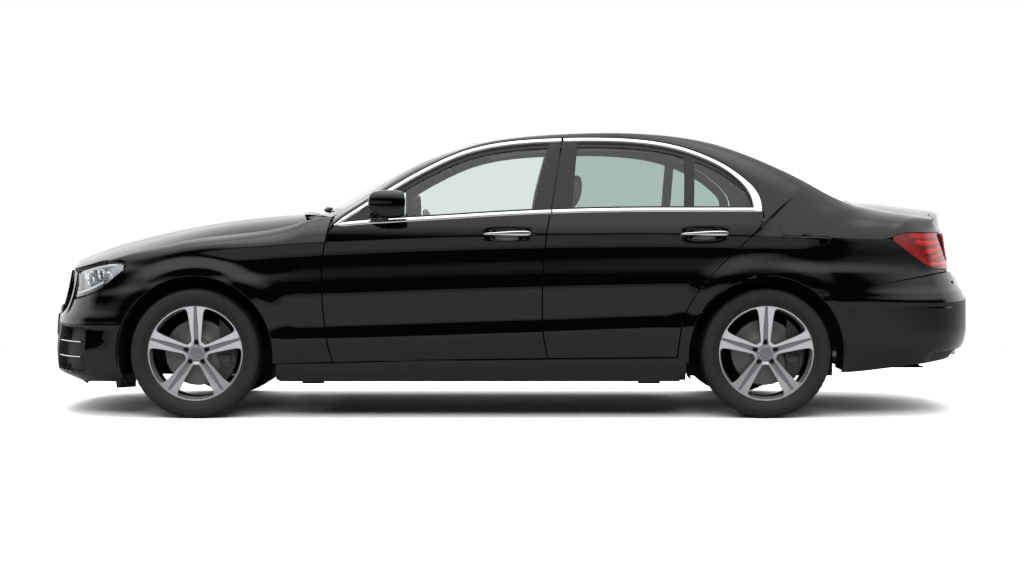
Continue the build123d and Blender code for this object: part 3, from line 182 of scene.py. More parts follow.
def sheet_of(points, wrap_u=False, wrap_v=False, paint=0):
    """Grid of points (rows v, columns u) as corners and four-sided faces, without the rows and columns
    that its shape doesn't need."""
    rows, cols = points.shape[:2]
    tones = np.broadcast_to(paint, (rows if wrap_v else rows - 1, cols if wrap_u else cols - 1))
    for turn, wrap in ((0, wrap_v), (1, wrap_u)):
        grid = np.swapaxes(points, 0, 1) if turn else points
        face = tones.T if turn else tones
        ring = np.concatenate([grid, grid[:1]]) if wrap else grid
        change = np.zeros(len(ring), bool)
        change[1:len(face)] = (face[1:] != face[:-1]).any(1)
        keep = needed(ring, change)
        face = face[keep[:-1]]
        grid = grid[keep[:-1]] if wrap else grid[keep]
        points, tones = (np.swapaxes(grid, 0, 1), face.T) if turn else (grid, face)
    rows, cols = points.shape[:2]
    k = np.arange(rows * cols).reshape(rows, cols)
    if wrap_u:
        k = np.concatenate([k, k[:, :1]], 1)
    if wrap_v:
        k = np.concatenate([k, k[:1]], 0)
    faces = np.stack([k[:-1, :-1], k[:-1, 1:], k[1:, 1:], k[1:, :-1]], -1).reshape(-1, 4)
    return points.reshape(-1, 3), faces, tones.reshape(-1).astype(int)


def joined(*sheets, weld=1e-6):
    """Several sheets as one, with corners that coincide made one."""
    start, points, faces, shades = 0, [], [], []
    for p, f, s in sheets:
        points.append(p)
        faces.append(f + start)
        shades.append(s)
        start += len(p)
    p, f, s = np.concatenate(points), np.concatenate(faces), np.concatenate(shades)
    _, first, where = np.unique(np.round(p / weld).astype(np.int64), axis=0, return_index=True,
                                return_inverse=True)
    return p[first], where.reshape(-1)[f], s


def turned(sheet, outward):
    """The sheet with its faces turned so that, all together, they look along outward (a direction,
    or a function of face centres)."""
    p, f, s = sheet
    a, b, c, d = (p[f[:, k]] for k in range(4))
    n = np.cross(c - a, d - b)
    way = outward((a + c) / 2) if callable(outward) else np.array(outward, float)
    return (p, f[:, ::-1], s) if (n * way).sum() < 0 else sheet


def normals_of(sheet):
    """Normal at each corner: the sum of the normals of its faces."""
    p, f, _ = sheet
    n = np.cross(p[f[:, 2]] - p[f[:, 0]], p[f[:, 3]] - p[f[:, 1]])
    total = np.zeros_like(p)
    for k in range(4):
        np.add.at(total, f[:, k], n)
    return unit(total)


def walled(sheet, thick, shade=None):
    """Open sheet given a wall behind it: a copy moved back along the normals, and a rim."""
    p, f, s = sheet
    inner = p - normals_of(sheet) * thick
    edges = np.concatenate([f[:, [k, (k + 1) % 4]] for k in range(4)])
    owner = np.tile(np.arange(len(f)), 4)
    key = np.sort(edges, 1)
    live = edges[:, 0] != edges[:, 1]
    edges, key, owner = edges[live], key[live], owner[live]
    _, where, count = np.unique(key, axis=0, return_inverse=True, return_counts=True)
    rim = count[where.reshape(-1)] == 1
    e, o, n = edges[rim], owner[rim], len(p)
    rim_faces = np.stack([e[:, 1], e[:, 0], e[:, 0] + n, e[:, 1] + n], 1)
    back = s if shade is None else np.full(len(f), shade)
    return (np.concatenate([p, inner]), np.concatenate([f, f[:, ::-1] + n, rim_faces]),
            np.concatenate([s, back, s[o]]))


def field(x, y, z, way, **more):
    """Sheet over grids of x, y and z, whatever way they run, that looks along way."""
    return turned(sheet_of(np.stack(np.broadcast_arrays(x, y, z), -1), **more), way)


def mirrored(sheet):
    """The same on the other side of the car, with its faces turned back outwards."""
    p, f, s = sheet
    return p * np.array([1.0, -1.0, 1.0]), f[:, ::-1], s


def piece(name, sheet, materials, body="body", replaces=(), sharp=38.0):
    """Mesh object from a sheet, riding on a body; faces with two equal corners become triangles."""
    p, f, s = sheet
    used, where = np.unique(f, return_inverse=True)
    p, f = p[used], where.reshape(f.shape)
    flat = (f[:, [0, 1, 2, 0]] == f[:, [1, 2, 3, 3]]).sum(1)
    f, s, flat = f[flat < 2], s[flat < 2], flat[flat < 2]
    keep = np.ones_like(f, bool)
    same_next = f == np.roll(f, -1, 1)
    keep[same_next] = False
    sizes = keep.sum(1)
    good = sizes >= 3
    f, s, keep, sizes = f[good], s[good], keep[good], sizes[good]
    mesh = bpy.data.meshes.new(name)
    mesh.vertices.add(len(p))
    mesh.vertices.foreach_set("co", p.astype(np.float32).ravel())
    mesh.loops.add(int(sizes.sum()))
    mesh.loops.foreach_set("vertex_index", f[keep].astype(np.int32))
    mesh.polygons.add(len(f))
    mesh.polygons.foreach_set("loop_start", np.concatenate([[0], np.cumsum(sizes)[:-1]]).astype(np.int32))
    mesh.polygons.foreach_set("material_index", s.astype(np.int32))
    mesh.polygons.foreach_set("use_smooth", np.ones(len(f), bool))
    mesh.update(calc_edges=True)
    mesh.validate()
    mesh.set_sharp_from_angle(angle=np.radians(sharp))
    made = bpy.data.objects.new(name, mesh)
    for m in materials if isinstance(materials, (list, tuple)) else [materials]:
        mesh.materials.append(m)
    bpy.context.scene.collection.objects.link(made)
    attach(made, body)
    if replaces:
        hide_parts(*replaces)
    return made


def pair(name, sheet, materials, body="body", replaces=(), sharp=38.0):
    """A left piece and its mirror image; {} in a name stands for the side."""
    for side, part in (("left", sheet), ("right", mirrored(sheet))):
        piece(name.format(side), part, materials, body.format(side),
              [n.format(side) for n in replaces], sharp)


# ---------------------------------------------------------------- materials
def tone(code):
    """sRGB hex colour as linear RGBA."""
    c = np.array([int(code[k:k + 2], 16) for k in (1, 3, 5)]) / 255.0
    c = np.where(c <= 0.04045, c / 12.92, ((c + 0.055) / 1.055) ** 2.4)
    return (*[float(x) for x in c], 1.0)


def add_node(tree, kind, inputs=None, **settings):
    """New node: settings are its properties; inputs give each socket a value or what feeds it."""
    made = tree.nodes.new(kind)
    for key, value in settings.items():
        setattr(made, key, value)
    for key, value in (inputs or {}).items():
        if isinstance(value, bpy.types.NodeSocket):
            tree.links.new(value, made.inputs[key])
        else:
            made.inputs[key].default_value = value
    return made


def material(name, **sockets):
    """Material with one Principled shader; sockets are named with _ for a space."""
    made = bpy.data.materials.new(name)
    made.use_nodes = True
    tree = made.node_tree
    shader = tree.nodes["Principled BSDF"]
    for key, value in sockets.items():
        shader.inputs[key.replace("_", " ")].default_value = value
    return made, tree, shader


def grain(tree, shader, size, depth, kind="noise", detail=2.0, stretch=(1, 1, 1)):
    """Bump on a shader from a pattern of a real size in metres, raised by depth in metres."""
    place = add_node(tree, "ShaderNodeTexCoord")
    where = add_node(tree, "ShaderNodeMapping", {"Vector": place.outputs["Object"], "Scale": stretch})
    if kind == "cells":
        cells = add_node(tree, "ShaderNodeTexVoronoi", {"Vector": where.outputs[0], "Scale": 1.0 / size},
                         feature="DISTANCE_TO_EDGE")
        height = add_node(tree, "ShaderNodeMapRange",
                          {0: cells.outputs["Distance"], 1: 0.0, 2: 0.25}).outputs[0]
    else:
        height = add_node(tree, "ShaderNodeTexNoise",
                          {"Vector": where.outputs[0], "Scale": 1.0 / size, "Detail": detail}).outputs["Fac"]
    bump = add_node(tree, "ShaderNodeBump", {"Height": height, "Distance": depth, "Strength": 1.0})
    tree.links.new(bump.outputs["Normal"], shader.inputs["Normal"])
    return height


def shade_by(tree, shader, height, dark, light, socket="Base Color"):
    """Colour that runs from dark to light with a pattern's height."""
    mix = add_node(tree, "ShaderNodeMix", {0: height, 6: tone(dark), 7: tone(light)}, data_type="RGBA")
    tree.links.new(mix.outputs[2], shader.inputs[socket])


def mottled(name, dark, light, size, depth, kind="noise", detail=2.0, stretch=(1, 1, 1), **sockets):
    """Material with a fine relief (see grain), whose height also runs its colour from dark to light."""
    made, tree, shader = material(name, **sockets)
    shade_by(tree, shader, grain(tree, shader, size, depth, kind, detail, stretch), dark, light)
    return made


# Solid black car enamel under clear lacquer, polished: a deep black that only its reflections show,
# with the faint ripple of sprayed lacquer.
paint, tree, shader = material("black_lacquer", Base_Color=tone("#030304"), Roughness=0.35, IOR=1.5,
                               Coat_Weight=1.0, Coat_Roughness=0.015, Coat_IOR=1.5, Specular_IOR_Level=0.0)
place = add_node(tree, "ShaderNodeTexCoord")
ripple = add_node(tree, "ShaderNodeTexNoise", {"Vector": place.outputs["Object"], "Scale": 90.0, "Detail": 1.0})
bump = add_node(tree, "ShaderNodeBump", {"Height": ripple.outputs["Fac"], "Distance": 0.00002, "Strength": 0.5})
tree.links.new(bump.outputs["Normal"], shader.inputs["Coat Normal"])

# Black gloss acrylic on the pillars and grille, smoother than the paint.
gloss, tree, shader = material("piano_black_acrylic", Base_Color=tone("#050506"), Roughness=0.06, IOR=1.49)
grain(tree, shader, 0.03, 0.00002)

# Polished and anodised aluminium trim: bright, with a very fine drawn grain along the strip.
bright = mottled("polished_aluminium", "#DEDFE1", "#EDEEF0", 0.002, 0.00001, stretch=(0.05, 1, 1),
                 Base_Color=tone("#E6E7E9"), Metallic=1.0, Roughness=0.13)

# Moulded unpainted plastic, charcoal, with a pebbled mould grain.
plastic = mottled("grained_polypropylene", "#101011", "#1B1B1C", 0.0016, 0.00012, "cells", Roughness=0.62,
                  IOR=1.49)

# Black rubber of seals.
seal = mottled("epdm_rubber_seal", "#0B0B0B", "#151515", 0.004, 0.00005, Roughness=0.7, IOR=1.52)

# ---------------------------------------------------------------- body lines
# Plan of the widest line, left half, from the nose round to the tail (x, y).
nose_line = [(2.385, -0.56), (2.4615, 0.0), (2.385, 0.56), (2.262, 0.765), (2.035, 0.886), (1.80, 0.9165),
             (1.40, 0.925), (0.9, HALF), (0.0, HALF), (-0.9, HALF), (-1.54, 0.922), (-1.965, 0.893),
             (-2.255, 0.795), (-2.386, 0.600), (-2.4615, 0.0), (-2.386, -0.600)]
plan_points = spaced(fair(nose_line), 3000)
plan_points = plan_points[np.argmax(plan_points[:, 1] >= 0):]
plan_points = plan_points[:np.argmax(plan_points[:, 1] < -0.001)]
plan_run = np.concatenate([[0.0], np.cumsum(np.linalg.norm(np.diff(plan_points, axis=0), axis=1))])
plan_way = unit(np.gradient(plan_points, axis=0))
plan_out = np.stack([plan_way[:, 1], -plan_way[:, 0]], 1)
S_END = plan_run[-1]


def x_of(s):
    """x at length s along the plan line."""
    return np.interp(s, plan_run, plan_points[:, 0])


def out_of(s):
    """Level direction out of the body at length s along the plan line."""
    return np.stack([np.interp(s, plan_run, plan_out[:, 0]), np.interp(s, plan_run, plan_out[:, 1]), 0 * s], -1)


def s_of(x):
    """Length along the plan line at which it reaches x."""
    return np.interp(-np.asarray(x, float), -plan_points[:, 0], plan_run)


def s_of_y(y, tail=False):
    """Length along the plan line at which the nose's (or the tail's) front face reaches y."""
    half = len(plan_run) // 2
    if tail:
        return np.interp(-np.asarray(y, float), -plan_points[half:, 1], plan_run[half:])
    return np.interp(np.asarray(y, float), plan_points[:half, 1], plan_run[:half])


# Feature lines along the side: shoulder crease, lower door crease, window line (x, z).
shoulder = line((2.30, 0.735), (2.02, 0.786), (1.80, 0.835), (1.59, 0.866), (1.333, 0.884), (1.077, 0.903),
                (0.821, 0.917), (0.30, 0.937), (-0.205, 0.948), (-0.718, 0.951), (-1.23, 0.940),
                (-1.641, 0.929), (-1.99, 0.921), (-2.40, 0.915))
low_crease = line((1.3, 0.405), (0.9, 0.412), (0.0, 0.440), (-0.9, 0.472), (-1.3, 0.48))
belt = line((0.931, 0.985), (0.852, 0.999), (0.568, 1.020), (0.310, 1.035), (0.052, 1.051), (-0.206, 1.063),
            (-0.464, 1.070), (-0.723, 1.073), (-1.33, 1.073))
house_y = line((0.90, 0.925), (0.94, 0.910), (1.0, 0.891), (1.062, 0.868), (1.2, 0.804), (1.33, 0.738),
               (1.452, 0.670), (1.52, 0.62))

# Depth of the side inside its widest line, by level: levels 0.19, 0.435 and 0.948 follow the feature lines.
side_depth = line((0.12, 0.090), (0.19, 0.062), (0.30, 0.041), (0.35, 0.030), (0.40, 0.0175), (0.425, 0.0125),
                  (0.436, 0.0118), (0.45, 0.0125), (0.48, 0.0155), (0.505, 0.0165), (0.53, 0.0155),
                  (0.58, 0.0085), (0.63, 0.002), (0.67, 0.0), (0.71, 0.0015), (0.76, 0.0085), (0.81, 0.0175),
                  (0.85, 0.0225), (0.875, 0.0238), (0.90, 0.0225), (0.925, 0.0195), (0.944, 0.0175),
                  (0.950, 0.0178), (1.02, 0.030))
nose_depth = line((0.13, 0.175), (0.165, 0.125), (0.183, 0.085), (0.199, 0.050), (0.220, 0.013), (0.241, 0.005),
                  (0.331, 0.0), (0.41, 0.008), (0.49, 0.016), (0.569, 0.026), (0.648, 0.032), (0.754, 0.042),
                  (0.791, 0.071))
tail_depth = line((0.18, 0.17), (0.271, 0.085), (0.297, 0.066), (0.34, 0.028), (0.376, 0.010), (0.44, 0.0),
                  (0.560, 0.0008), (0.598, 0.004), (0.640, 0.018), (0.665, 0.036), (0.713, 0.058),
                  (0.766, 0.080), (0.819, 0.094), (0.887, 0.110), (0.94, 0.126), (0.987, 0.140), (1.029, 0.158))
lamp_step = line((-0.1, 0.0), (0.50, 0.0), (0.56, 0.022), (0.60, 0.034), (0.70, 0.048), (0.80, 0.048))
S_LAMP_IN, S_LAMP_MID, S_SIDE = float(s_of_y(0.47)), float(s_of_y(0.62)), float(s_of(1.75))


def flank(s, z):
    """Body side below the shoulder: the plan line at length s, moved in by the section's depth at
    height z.  The depth blends from the side's section to the nose's and the tail's, the lamps' corner
    is set back, and a slim flare follows each wheel arch."""
    s, z = np.broadcast_arrays(np.asarray(s, float), np.asarray(z, float))
    at = np.stack([np.interp(s, plan_run, plan_points[:, k]) for k in range(2)], -1)
    out = np.stack([np.interp(s, plan_run, plan_out[:, k]) for k in range(2)], -1)
    x = at[..., 0]
    crease, top = low_crease(x), shoulder(x)
    level = np.where(z < crease, 0.19 + (z - 0.19) * (0.436 - 0.19) / (crease - 0.19),
                     0.436 + (z - crease) * (0.948 - 0.436) / (top - crease))
    nose, tail = ramp(x, 1.80, 2.32), ramp(-x, 1.62, 2.30)
    high = ramp(level, 0.78, 0.86)
    fade = ramp(x, 1.0 + 0.38 * high, 1.75 + 0.15 * high) + ramp(-x, 1.15 + 0.25 * high, 1.80)
    plain = line((0.12, 0.085), (0.19, 0.060), (0.30, 0.036), (0.45, 0.012), (0.62, 0.0), (0.74, 0.008),
                 (0.80, 0.024), (0.9, 0.040), (0.948, 0.048), (1.02, 0.070))(level)
    side = side_depth(level) * (1 - fade) + plain * fade
    depth = side * (1 - nose) * (1 - tail) + nose_depth(z) * nose + tail_depth(z) * tail
    corner = ramp(s, S_LAMP_IN - 0.03, S_LAMP_IN + 0.02) * (1 - ramp(s, S_LAMP_MID, S_SIDE))
    depth = depth + lamp_step(z) * corner
    for axle in (FRONT_X, REAR_X):
        radius = np.hypot(x - axle, z - HUB_Z)
        up = ramp((z - HUB_Z) / np.maximum(radius, 0.01), 0.70, 0.98) * (axle > 0)
        depth = depth - (0.009 + 0.017 * up) * (1 - ramp(radius, 0.434, 0.54 - 0.03 * up))
    xy = at - out * depth[..., None]
    return np.concatenate([xy, z[..., None]], -1)


def side_at(x, z):
    """Body side below the shoulder, at x along the plan line and height z."""
    return flank(s_of(x), z)


def between(front, rear, low, high, cols, rows):
    """Grid in the side view between two upright edges x(z) and two lengthwise edges z(x).
    rows are shares from low to high; each point is found by putting x and z right in turns."""
    u = (np.linspace(0, 1, cols) if np.ndim(cols) == 0 else np.asarray(cols))[None, :]
    v = np.asarray(rows, float)[:, None]
    z = v * 0.6 + 0.3 + 0 * u
    for _ in range(12):
        x = front(z) + (rear(z) - front(z)) * u
        z = low(x) + (high(x) - low(x)) * v
    return x, z


# Door cut lines (z, x).
front_cut = line((0.285, 0.912), (0.38, 0.937), (0.482, 0.952), (0.61, 0.962), (0.713, 0.967), (0.815, 0.962),
                 (0.917, 0.947), (0.958, 0.932), (1.00, 0.893))
split_cut = line((0.285, -0.203), (0.355, -0.184), (0.457, -0.169), (0.61, -0.165), (0.764, -0.171),
                 (0.866, -0.179), (0.958, -0.189), (1.08, -0.213))
rear_cut = line((0.285, -0.858), (0.355, -0.865), (0.447, -0.875), (0.518, -0.890), (0.585, -0.921),
                (0.661, -0.972), (0.728, -1.023), (0.805, -1.100), (0.876, -1.177), (0.917, -1.218),
                (0.958, -1.259), (0.98, -1.278), (1.01, -1.296), (1.03, -1.302), (1.06, -1.302),
                (1.085, -1.2995))
sill_line = line((1.3, 0.281), (0.9, 0.287), (0.56, 0.297), (-0.2, 0.307), (-0.9, 0.314))
handle_spots = ((0.013, 0.949), (-0.997, 0.949))


def door_skin(x, z):
    """Door surface: the flank up to the shoulder crease, above it a nearly flat band that leans in to
    the window line, with a shallow cup behind each handle."""
    top, crease = belt(x), shoulder(x)
    base = side_at(x, np.minimum(z, crease))
    t = np.clip((z - crease) / (top - crease), 0, 1.3)
    edge = side_at(x, crease)[..., 1]
    y = np.where(z > crease, edge + (house_y(top) - edge) * t + 0.0035 * 4 * t * (1 - t), base[..., 1])
    for hx, hz in handle_spots:
        y = y - 0.020 * bell(x, hx, 0.125) ** 0.6 * bell(z, hz - 0.003, 0.034) ** 0.7
    return np.stack([base[..., 0], y, z], -1)


door_rows = np.concatenate([np.linspace(0, 0.13, 9), np.linspace(0.15, 0.24, 12), np.linspace(0.26, 0.80, 34),
                            np.linspace(0.805, 0.90, 20), np.linspace(0.91, 1.0, 12)])
for place, front, rear in (("front", front_cut, split_cut), ("rear", split_cut, rear_cut)):
    x, z = between(lambda h, f=front: f(h) - GAP, lambda h, r=rear: r(h) + GAP,
                   lambda a: sill_line(a) + GAP, lambda a: belt(a) - 0.002, 90, door_rows)
    skin, faces, tones = walled(turned(sheet_of(door_skin(x, z)), (0, 1, 0)), 0.006)
    # The front edge's inner corner is set back, so that it turns further from the hinges.
    inner = np.arange(len(skin)) >= len(skin) // 2
    edge = front(skin[inner, 2])
    skin[inner, 0] -= 0.012 * ramp(skin[inner, 0], edge - 0.030, edge - 0.008)
    pair(f"{place}_door_skin_{{}}", (skin, faces, tones), paint, f"{place}_door_{{}}",
         [f"{place}_door_{{}}"])

# ---------------------------------------------------------------- wings
# Upper edge of the wing, from the door's front corner along the bonnet (x, y, z).
wing_crest = line((0.90, 0.782, 1.040), (0.95, 0.785, 1.036), (1.0, 0.790, 1.028), (1.05, 0.795, 1.017),
                  (1.10, 0.792, 1.001), (1.15, 0.788, 0.987), (1.25, 0.785, 0.967), (1.45, 0.785, 0.943),
                  (1.64, 0.790, 0.920), (1.79, 0.797, 0.886), (1.935, 0.795, 0.853), (2.08, 0.770, 0.812),
                  (2.18, 0.715, 0.783), (2.29, 0.600, 0.757))
lamp_top = line((1.99, 0.782), (2.017, 0.792), (2.078, 0.798), (2.153, 0.793), (2.20, 0.787), (2.28, 0.771),
                (2.33, 0.761), (2.38, 0.752))
lamp_low = line((1.99, 0.776), (2.02, 0.752), (2.06, 0.726), (2.124, 0.684), (2.229, 0.636), (2.40, 0.598))


def around(axle, outline, start, end, cols, rows, inner=ARCH_R):
    """Grid in the side view from a wheel arch out to an outline of (x, z) corners: spokes from the
    arch, at even angles from start to end (degrees), meet the outline at even lengths."""
    angle = np.radians(np.linspace(start, end, cols))
    arch = np.stack([axle + inner * np.cos(angle), HUB_Z + inner * np.sin(angle)], 1)
    corners = np.array(outline, float)
    run = np.concatenate([[0.0], np.cumsum(np.linalg.norm(np.diff(corners, axis=0), axis=1))])
    u = np.linspace(0, 1, cols)
    edge = np.stack([np.interp(u * run[-1], run, corners[:, k]) for k in range(2)], 1)
    v = np.asarray(rows, float)[:, None, None]
    return arch[None] * (1 - v) + edge[None] * v


arch_rows = np.concatenate([np.linspace(0, 0.03, 3), np.linspace(0.045, 0.16, 8), np.linspace(0.2, 1, 26)])


def shoulder_run(x_from, x_to, count, step=0.0):
    """Corners of an outline along the shoulder line (x, z)."""
    x = np.linspace(x_from, x_to, count)
    return list(zip(x, shoulder(x) + step))


cut = np.linspace(0.285, 0.9, 24)[::-1]
wing_edge = ([(1.882, 0.672), (2.036, 0.721), (2.022, 0.752), (1.992, 0.779)]
             + shoulder_run(1.985, 0.949, 60)
             + [(float(front_cut(h)) + GAP, h) for h in cut]
             + [(0.918, 0.285), (1.222, 0.283)])
grid = around(FRONT_X, wing_edge, 51.5, 187.0, 230, arch_rows)
low_wing = sheet_of(side_at(grid[..., 0], grid[..., 1]))
x = np.concatenate([np.linspace(0.922, 0.949, 6)[:-1], np.linspace(0.949, 2.288, 125)])
low_x = np.concatenate([np.linspace(0.949, 1.985, 104), np.linspace(1.99, 2.338, 26)])
low = side_at(low_x, np.where(low_x < 1.988, shoulder(low_x), lamp_top(low_x)))
high = wing_crest(x)
high = np.stack([x, high[:, 0] + 0.0025, high[:, 1]], 1)
below = side_at(low_x, low[:, 2] - 0.02)
smooth_way = unit(low - below)
lean = unit(np.stack([0 * x, -0.42 + 0 * x, 0.9 + 0 * x], 1))
soft = ramp(low_x, 1.15, 1.75)[:, None]
low_way = unit(lean * (1 - soft) + smooth_way * soft)
high_way = unit(np.stack([0 * x, -1.0 + 0 * x, 0.26 + 0 * x], 1))
rise = np.concatenate([[0, 0.02, 0.05], np.linspace(0.09, 1, 20)])
top_wing = sheet_of(bridge(low, high, low_way, high_way, rise))
wing = joined(turned(low_wing, (0, 1, 0)), turned(top_wing, (0, 0.6, 0.8)), weld=2e-4)
pair("front_wing_{}", walled(wing, 0.010), paint, replaces=["front_wings"])

# ---------------------------------------------------------------- bonnet
bonnet_mid = line((1.03, 1.064), (1.04, 1.066), (1.146, 1.061), (1.255, 1.052), (1.473, 1.030), (1.691, 1.000),
                  (1.80, 0.982), (1.909, 0.961), (2.018, 0.934), (2.127, 0.903), (2.236, 0.862), (2.29, 0.840),
                  (2.345, 0.812), (2.385, 0.784))
v = np.linspace(-1, 1, 121)[None, :]
u = np.concatenate([np.linspace(0, 0.9, 70), np.linspace(0.91, 1, 14)])[:, None]
side_x = BONNET_REAR + (BONNET_NOSE - BONNET_REAR) * u
x = (BONNET_REAR + 0.072 * (1 - v ** 2)) * (1 - u) + (BONNET_NOSE + 0.094 * (1 - np.abs(v) ** 2.2)) * u
edge = wing_crest(side_x)
y = v * (edge[..., 0] - 0.0025)
front_part = ramp(u, 0.20, 0.75)
crown = ((0.85 * np.abs(v) ** 1.5 + 0.15 * np.abs(v) ** 6) * front_part
         + (0.50 * np.abs(v) ** 2.0 + 0.50 * np.abs(v) ** 8) * (1 - front_part))
z = bonnet_mid(x) + (edge[..., 1] - bonnet_mid(side_x)) * crown
z = z + 0.003 * bell(np.abs(v), 0.66 - 0.16 * u, 0.10) * ramp(u, 0.0, 0.12) - 0.010 * ramp(u, 0.965, 1.0)
hood = field(x, y, z, (0, 0, 1))
piece("bonnet_skin", walled(hood, 0.014), paint, "bonnet", ["bonnet"])

# ---------------------------------------------------------------- cabin sides and quarter panels
# Outline of the door frames from the windscreen's foot over the doors to the rear door's corner (x, z).
frame_line = fair([(0.915, 0.987), (0.863, 1.030), (0.803, 1.070), (0.743, 1.108), (0.682, 1.146),
                   (0.621, 1.184), (0.560, 1.221), (0.499, 1.257), (0.437, 1.290), (0.375, 1.3215),
                   (0.313, 1.350), (0.251, 1.3745), (0.188, 1.3940), (0.063, 1.4205), (-0.062, 1.4355),
                   (-0.251, 1.4460), (-0.440, 1.4490), (-0.628, 1.4425), (-0.753, 1.4290), (-0.877, 1.4035),
                   (-1.000, 1.3615), (-1.110, 1.3075), (-1.196, 1.2470), (-1.232, 1.2155), (-1.260, 1.1850),
                   (-1.280, 1.1530), (-1.291, 1.1200), (-1.295, 1.0900), (-1.295, 1.0650)])
frame_edge = spaced(frame_line, 150)
frame_way = unit(np.gradient(frame_edge, axis=0))
frame_edge = frame_edge + np.stack([frame_way[:, 1], -frame_way[:, 0]], 1) * 0.0045
h = np.linspace(1.06, 0.945, 10)
lower = np.concatenate([frame_edge, np.stack([rear_cut(h) - GAP, h], 1)])
xs = np.linspace(-1.262, -2.02, 44)
# Shoulder line carried on over the tail lamp.
over_tail = lambda x: shoulder(x) + (0.957 - shoulder(x)) * ramp(-x, 1.93, 2.09)
tail_x = np.linspace(-2.05, -2.42, 12)
low_line = np.concatenate([
    np.stack([lower[:, 0], house_y(lower[:, 1]), lower[:, 1]], 1),
    side_at(xs, over_tail(xs)), side_at(tail_x, over_tail(tail_x))])
screen_side = [(0.925, 0.775, 1.035), (0.760, 0.745, 1.130), (0.592, 0.699, 1.243), (0.360, 0.648, 1.358),
               (0.170, 0.625, 1.420)]
roof_side = [(0.02, 0.634, 1.446), (-0.20, 0.646, 1.464), (-0.56, 0.650, 1.474), (-0.88, 0.646, 1.452),
             (-1.070, 0.641, 1.416)]
back_side = [(-1.220, 0.668, 1.364), (-1.390, 0.692, 1.291), (-1.560, 0.707, 1.205), (-1.700, 0.705, 1.130),
             (-1.790, 0.672, 1.098)]
deck_side = [(-1.860, 0.600, 1.088), (-1.93, 0.5675, 1.076), (-2.05, 0.5665, 1.056), (-2.17, 0.5660, 1.036),
             (-2.224, 0.5655, 1.024)]
high_fair = fair(screen_side + roof_side + back_side + deck_side)
count = len(low_line)
share = np.linspace(0, 1, count)
fine = spaced(high_fair, 600)
# pairs of x on the lower line and x on the upper line that face each other
facing_x = line((0.95, 0.93), (0.60, 0.56), (0.30, 0.24), (0.0, 0.0), (-0.5, -0.5), (-0.9, -0.93),
                (-1.10, -1.17), (-1.245, -1.36), (-1.305, -1.56), (-1.42, -1.68), (-1.60, -1.80),
                (-1.80, -1.95), (-2.02, -2.12), (-2.30, -2.224))
order = np.minimum.accumulate(facing_x(low_line[:, 0]) - 1e-4 * np.arange(count))
for _ in range(60):
    order[1:-1] = (order[:-2] + 2 * order[1:-1] + order[2:]) / 4
high_line = np.stack([np.interp(-order, -fine[:, 0], fine[:, k]) for k in range(3)], 1)
house_slope = unit(np.stack([0 * share, house_y(low_line[:, 2] + 0.01) - house_y(low_line[:, 2] - 0.01),
                             0.02 + 0 * share], 1))
at_quarter = (ramp(-low_line[:, 0], 1.262, 1.45) * (np.arange(count) >= len(lower)))[:, None]
quarter_way = unit(np.stack([0 * share, -0.34 + 0 * share, 0.94 + 0 * share], 1))
tail_fade = ramp(-low_line[:, 0], 1.95, 2.15)[:, None]
tail_way = unit(np.stack([0.45 + 0 * share, -0.55 + 0 * share, 0.70 + 0 * share], 1))
low_way = house_slope * (1 - at_quarter) + quarter_way * at_quarter
low_way = unit(low_way * (1 - tail_fade) + tail_way * tail_fade)
on_roof = (1 - ramp(np.abs(high_line[:, 0] + 0.45), 0.55, 1.0))[:, None]
on_deck = ramp(-high_line[:, 0], 1.66, 1.86)[:, None]
at_screen = ramp(low_line[:, 0], -0.1, 0.4)
in_way = np.stack([0 * share, -1.0 + 0 * share, 0.62 - 0.42 * at_screen], 1)
roof_way = np.stack([0 * share, -1.0 + 0 * share, 0.30 + 0 * share], 1)
deck_way = np.stack([0 * share, -1.0 + 0 * share, 0.10 + 0 * share], 1)
chord = unit(high_line - low_line)[:, :1]
along = unit(np.gradient(low_line, axis=0)) * at_quarter + np.array([-1.0, 0, 0]) * (1 - at_quarter)
low_way = unit(low_way * np.sqrt(1 - chord ** 2) - along * np.minimum(chord, 0) * 0.9)
high_way = unit(in_way * (1 - on_roof) * (1 - on_deck) + roof_way * on_roof + deck_way * on_deck)
chord = chord * (1 - on_deck)
high_way = unit(high_way * np.sqrt(1 - chord ** 2)
                - unit(np.gradient(high_line, axis=0)) * np.minimum(chord, 0) * 0.9)
house_grid = bridge(low_line, high_line, low_way, high_way, 26, 1 - 0.45 * at_screen[:, None])
house = turned(sheet_of(house_grid), (0, 1, 0.3))
quarter_low = line((-1.56, 0.645), (-1.60, 0.649), (-1.70, 0.659), (-1.854, 0.679), (-2.06, 0.714),
                   (-2.16, 0.728), (-2.30, 0.744), (-2.42, 0.752))
tail_low = line((-1.985, 0.9185), (-2.03, 0.889), (-2.13, 0.826), (-2.23, 0.776), (-2.33, 0.762),
                (-2.42, 0.760))
cut = np.linspace(0.932, 0.285, 30)
quarter_edge = ([(-0.862 - GAP, 0.285)] + [(float(rear_cut(h)) - GAP, h) for h in cut[::-1]]
                + shoulder_run(-1.252, -1.985, 40)
                + [(a, float(tail_low(a)) - 0.002) for a in np.linspace(-1.99, -2.36, 16)]
                + [(a, float(quarter_low(a)) + GAP) for a in np.linspace(-2.36, -1.58, 20)])
quarter_edge = [(-0.925, 0.285)] + quarter_edge
grid = around(REAR_X, quarter_edge, -7.0, 128.6, 240, arch_rows)
low_quarter = sheet_of(side_at(grid[..., 0], grid[..., 1]))
quarter = joined(turned(low_quarter, (0, 1, 0)), house, weld=2e-4)
pair("body_side_{}", walled(quarter, 0.010), paint, replaces=["quarter_panels"])

